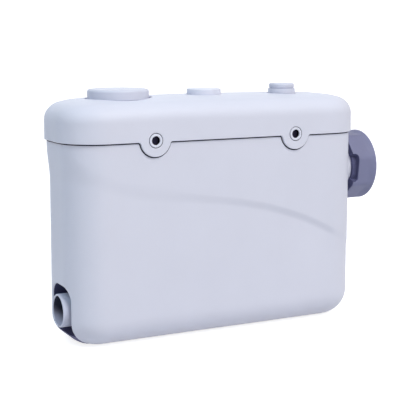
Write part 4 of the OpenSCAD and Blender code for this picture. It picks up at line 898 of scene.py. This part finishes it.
def floor_sweep():
    """A floor that rolls up into a wall behind: straight, a quarter round of 0.8 m, then straight up."""
    turn = np.linspace(0, np.pi / 2, 24)
    run = np.concatenate([[-3000.0], 2200 + 800 * np.sin(turn), [3000.0]])
    rise = np.concatenate([[0.0], 800 * (1 - np.cos(turn)), [3500.0]]) - 1.5
    x = np.linspace(-4000, 4000, 9)
    return np.stack(np.broadcast_arrays(x[None, :], run[:, None], rise[:, None]), -1)


def looked_at(start):
    """1 for a ray from the camera, or one sent on by a gloss or a clear piece, and 0 for any other: the greatest
    of the three signs of such rays."""
    ray = start.tree.nodes.new("ShaderNodeLightPath")
    sign = Value(start.tree, ray.outputs["Is Camera Ray"])
    for kind in ("Is Glossy Ray", "Is Transmission Ray"):
        sign = sign.maths("MAXIMUM", sign, Value(start.tree, ray.outputs[kind]))
    return sign


sweep_piece = skin("studio_sweep", [floor_sweep()])
paper, paper_place = blank("studio_paper")
fibre = paper_place.make("ShaderNodeTexNoise", {}, {"Vector": paper_place, "Scale": 40.0, "Detail": 3.0})
matt = paper_place.make("ShaderNodeBsdfDiffuse", {}, {
    "Color": colour_between((0.69, 0.69, 0.71), (0.71, 0.71, 0.73), fibre)})
glow = paper_place.make("ShaderNodeEmission", {}, {"Color": (1.0, 1.0, 1.0, 1.0), "Strength": 0.82})
bright = paper_place.make("ShaderNodeAddShader", {}, {0: matt, 1: glow})
paper_place.make("ShaderNodeOutputMaterial", {}, {
    "Surface": paper_place.make("ShaderNodeMixShader", {}, {0: looked_at(paper_place), 1: matt, 2: bright})})
sweep_piece.data.materials.append(paper)

world = bpy.data.worlds.new("studio_light")
bpy.context.scene.world = world
world.use_nodes = True
world.node_tree.nodes.clear()
sky = Value(world.node_tree)
soft = sky.make("ShaderNodeBackground", {}, {"Color": (0.95, 0.97, 1.0, 1.0), "Strength": 0.4})
white = sky.make("ShaderNodeBackground", {}, {"Color": (1.0, 1.0, 1.0, 1.0), "Strength": 1.0})
sky.make("ShaderNodeOutputWorld", {}, {
    "Surface": sky.make("ShaderNodeMixShader", {}, {0: looked_at(sky), 1: soft, 2: white})})


def lamp(name, place, target, size, power, colour):
    """A square area lamp at a place, turned towards a target."""
    light = bpy.data.lights.new(name, "AREA")
    light.shape, light.size, light.energy, light.color = "SQUARE", size, power, colour
    holder = bpy.data.objects.new(name, light)
    holder.location = place
    way = np.array(target) - np.array(place)
    holder.rotation_euler = (math.acos(-way[2] / np.linalg.norm(way)), 0, math.atan2(-way[0], way[1]))
    bpy.context.scene.collection.objects.link(holder)


lamp("key_lamp", (0.55, -2.25, 2.8), (0, 0, 0.12), 1.6, 76.0, (1.0, 0.978, 0.948))
lamp("left_fill", (-1.45, -0.25, 2.3), (0, 0, 0.12), 1.0, 17.5, (0.6, 0.84, 1.0))
lamp("back_fill", (0.9, 2.1, 0.75), (0, 0, 0.12), 1.4, 2.2, (0.95, 0.97, 1.0))

camera = bpy.data.cameras.new("photo_camera")
camera.sensor_width, camera.lens, camera.shift_y = 36.0, 95.9, -0.1
view = bpy.data.objects.new("photo_camera", camera)
view.location = (-0.5608, -1.0829, 0.3353)
view.rotation_euler = (math.radians(83.25), 0.0, math.radians(-27.18))
bpy.context.scene.collection.objects.link(view)
bpy.context.scene.camera = view
bpy.context.scene.view_settings.view_transform = "Standard"
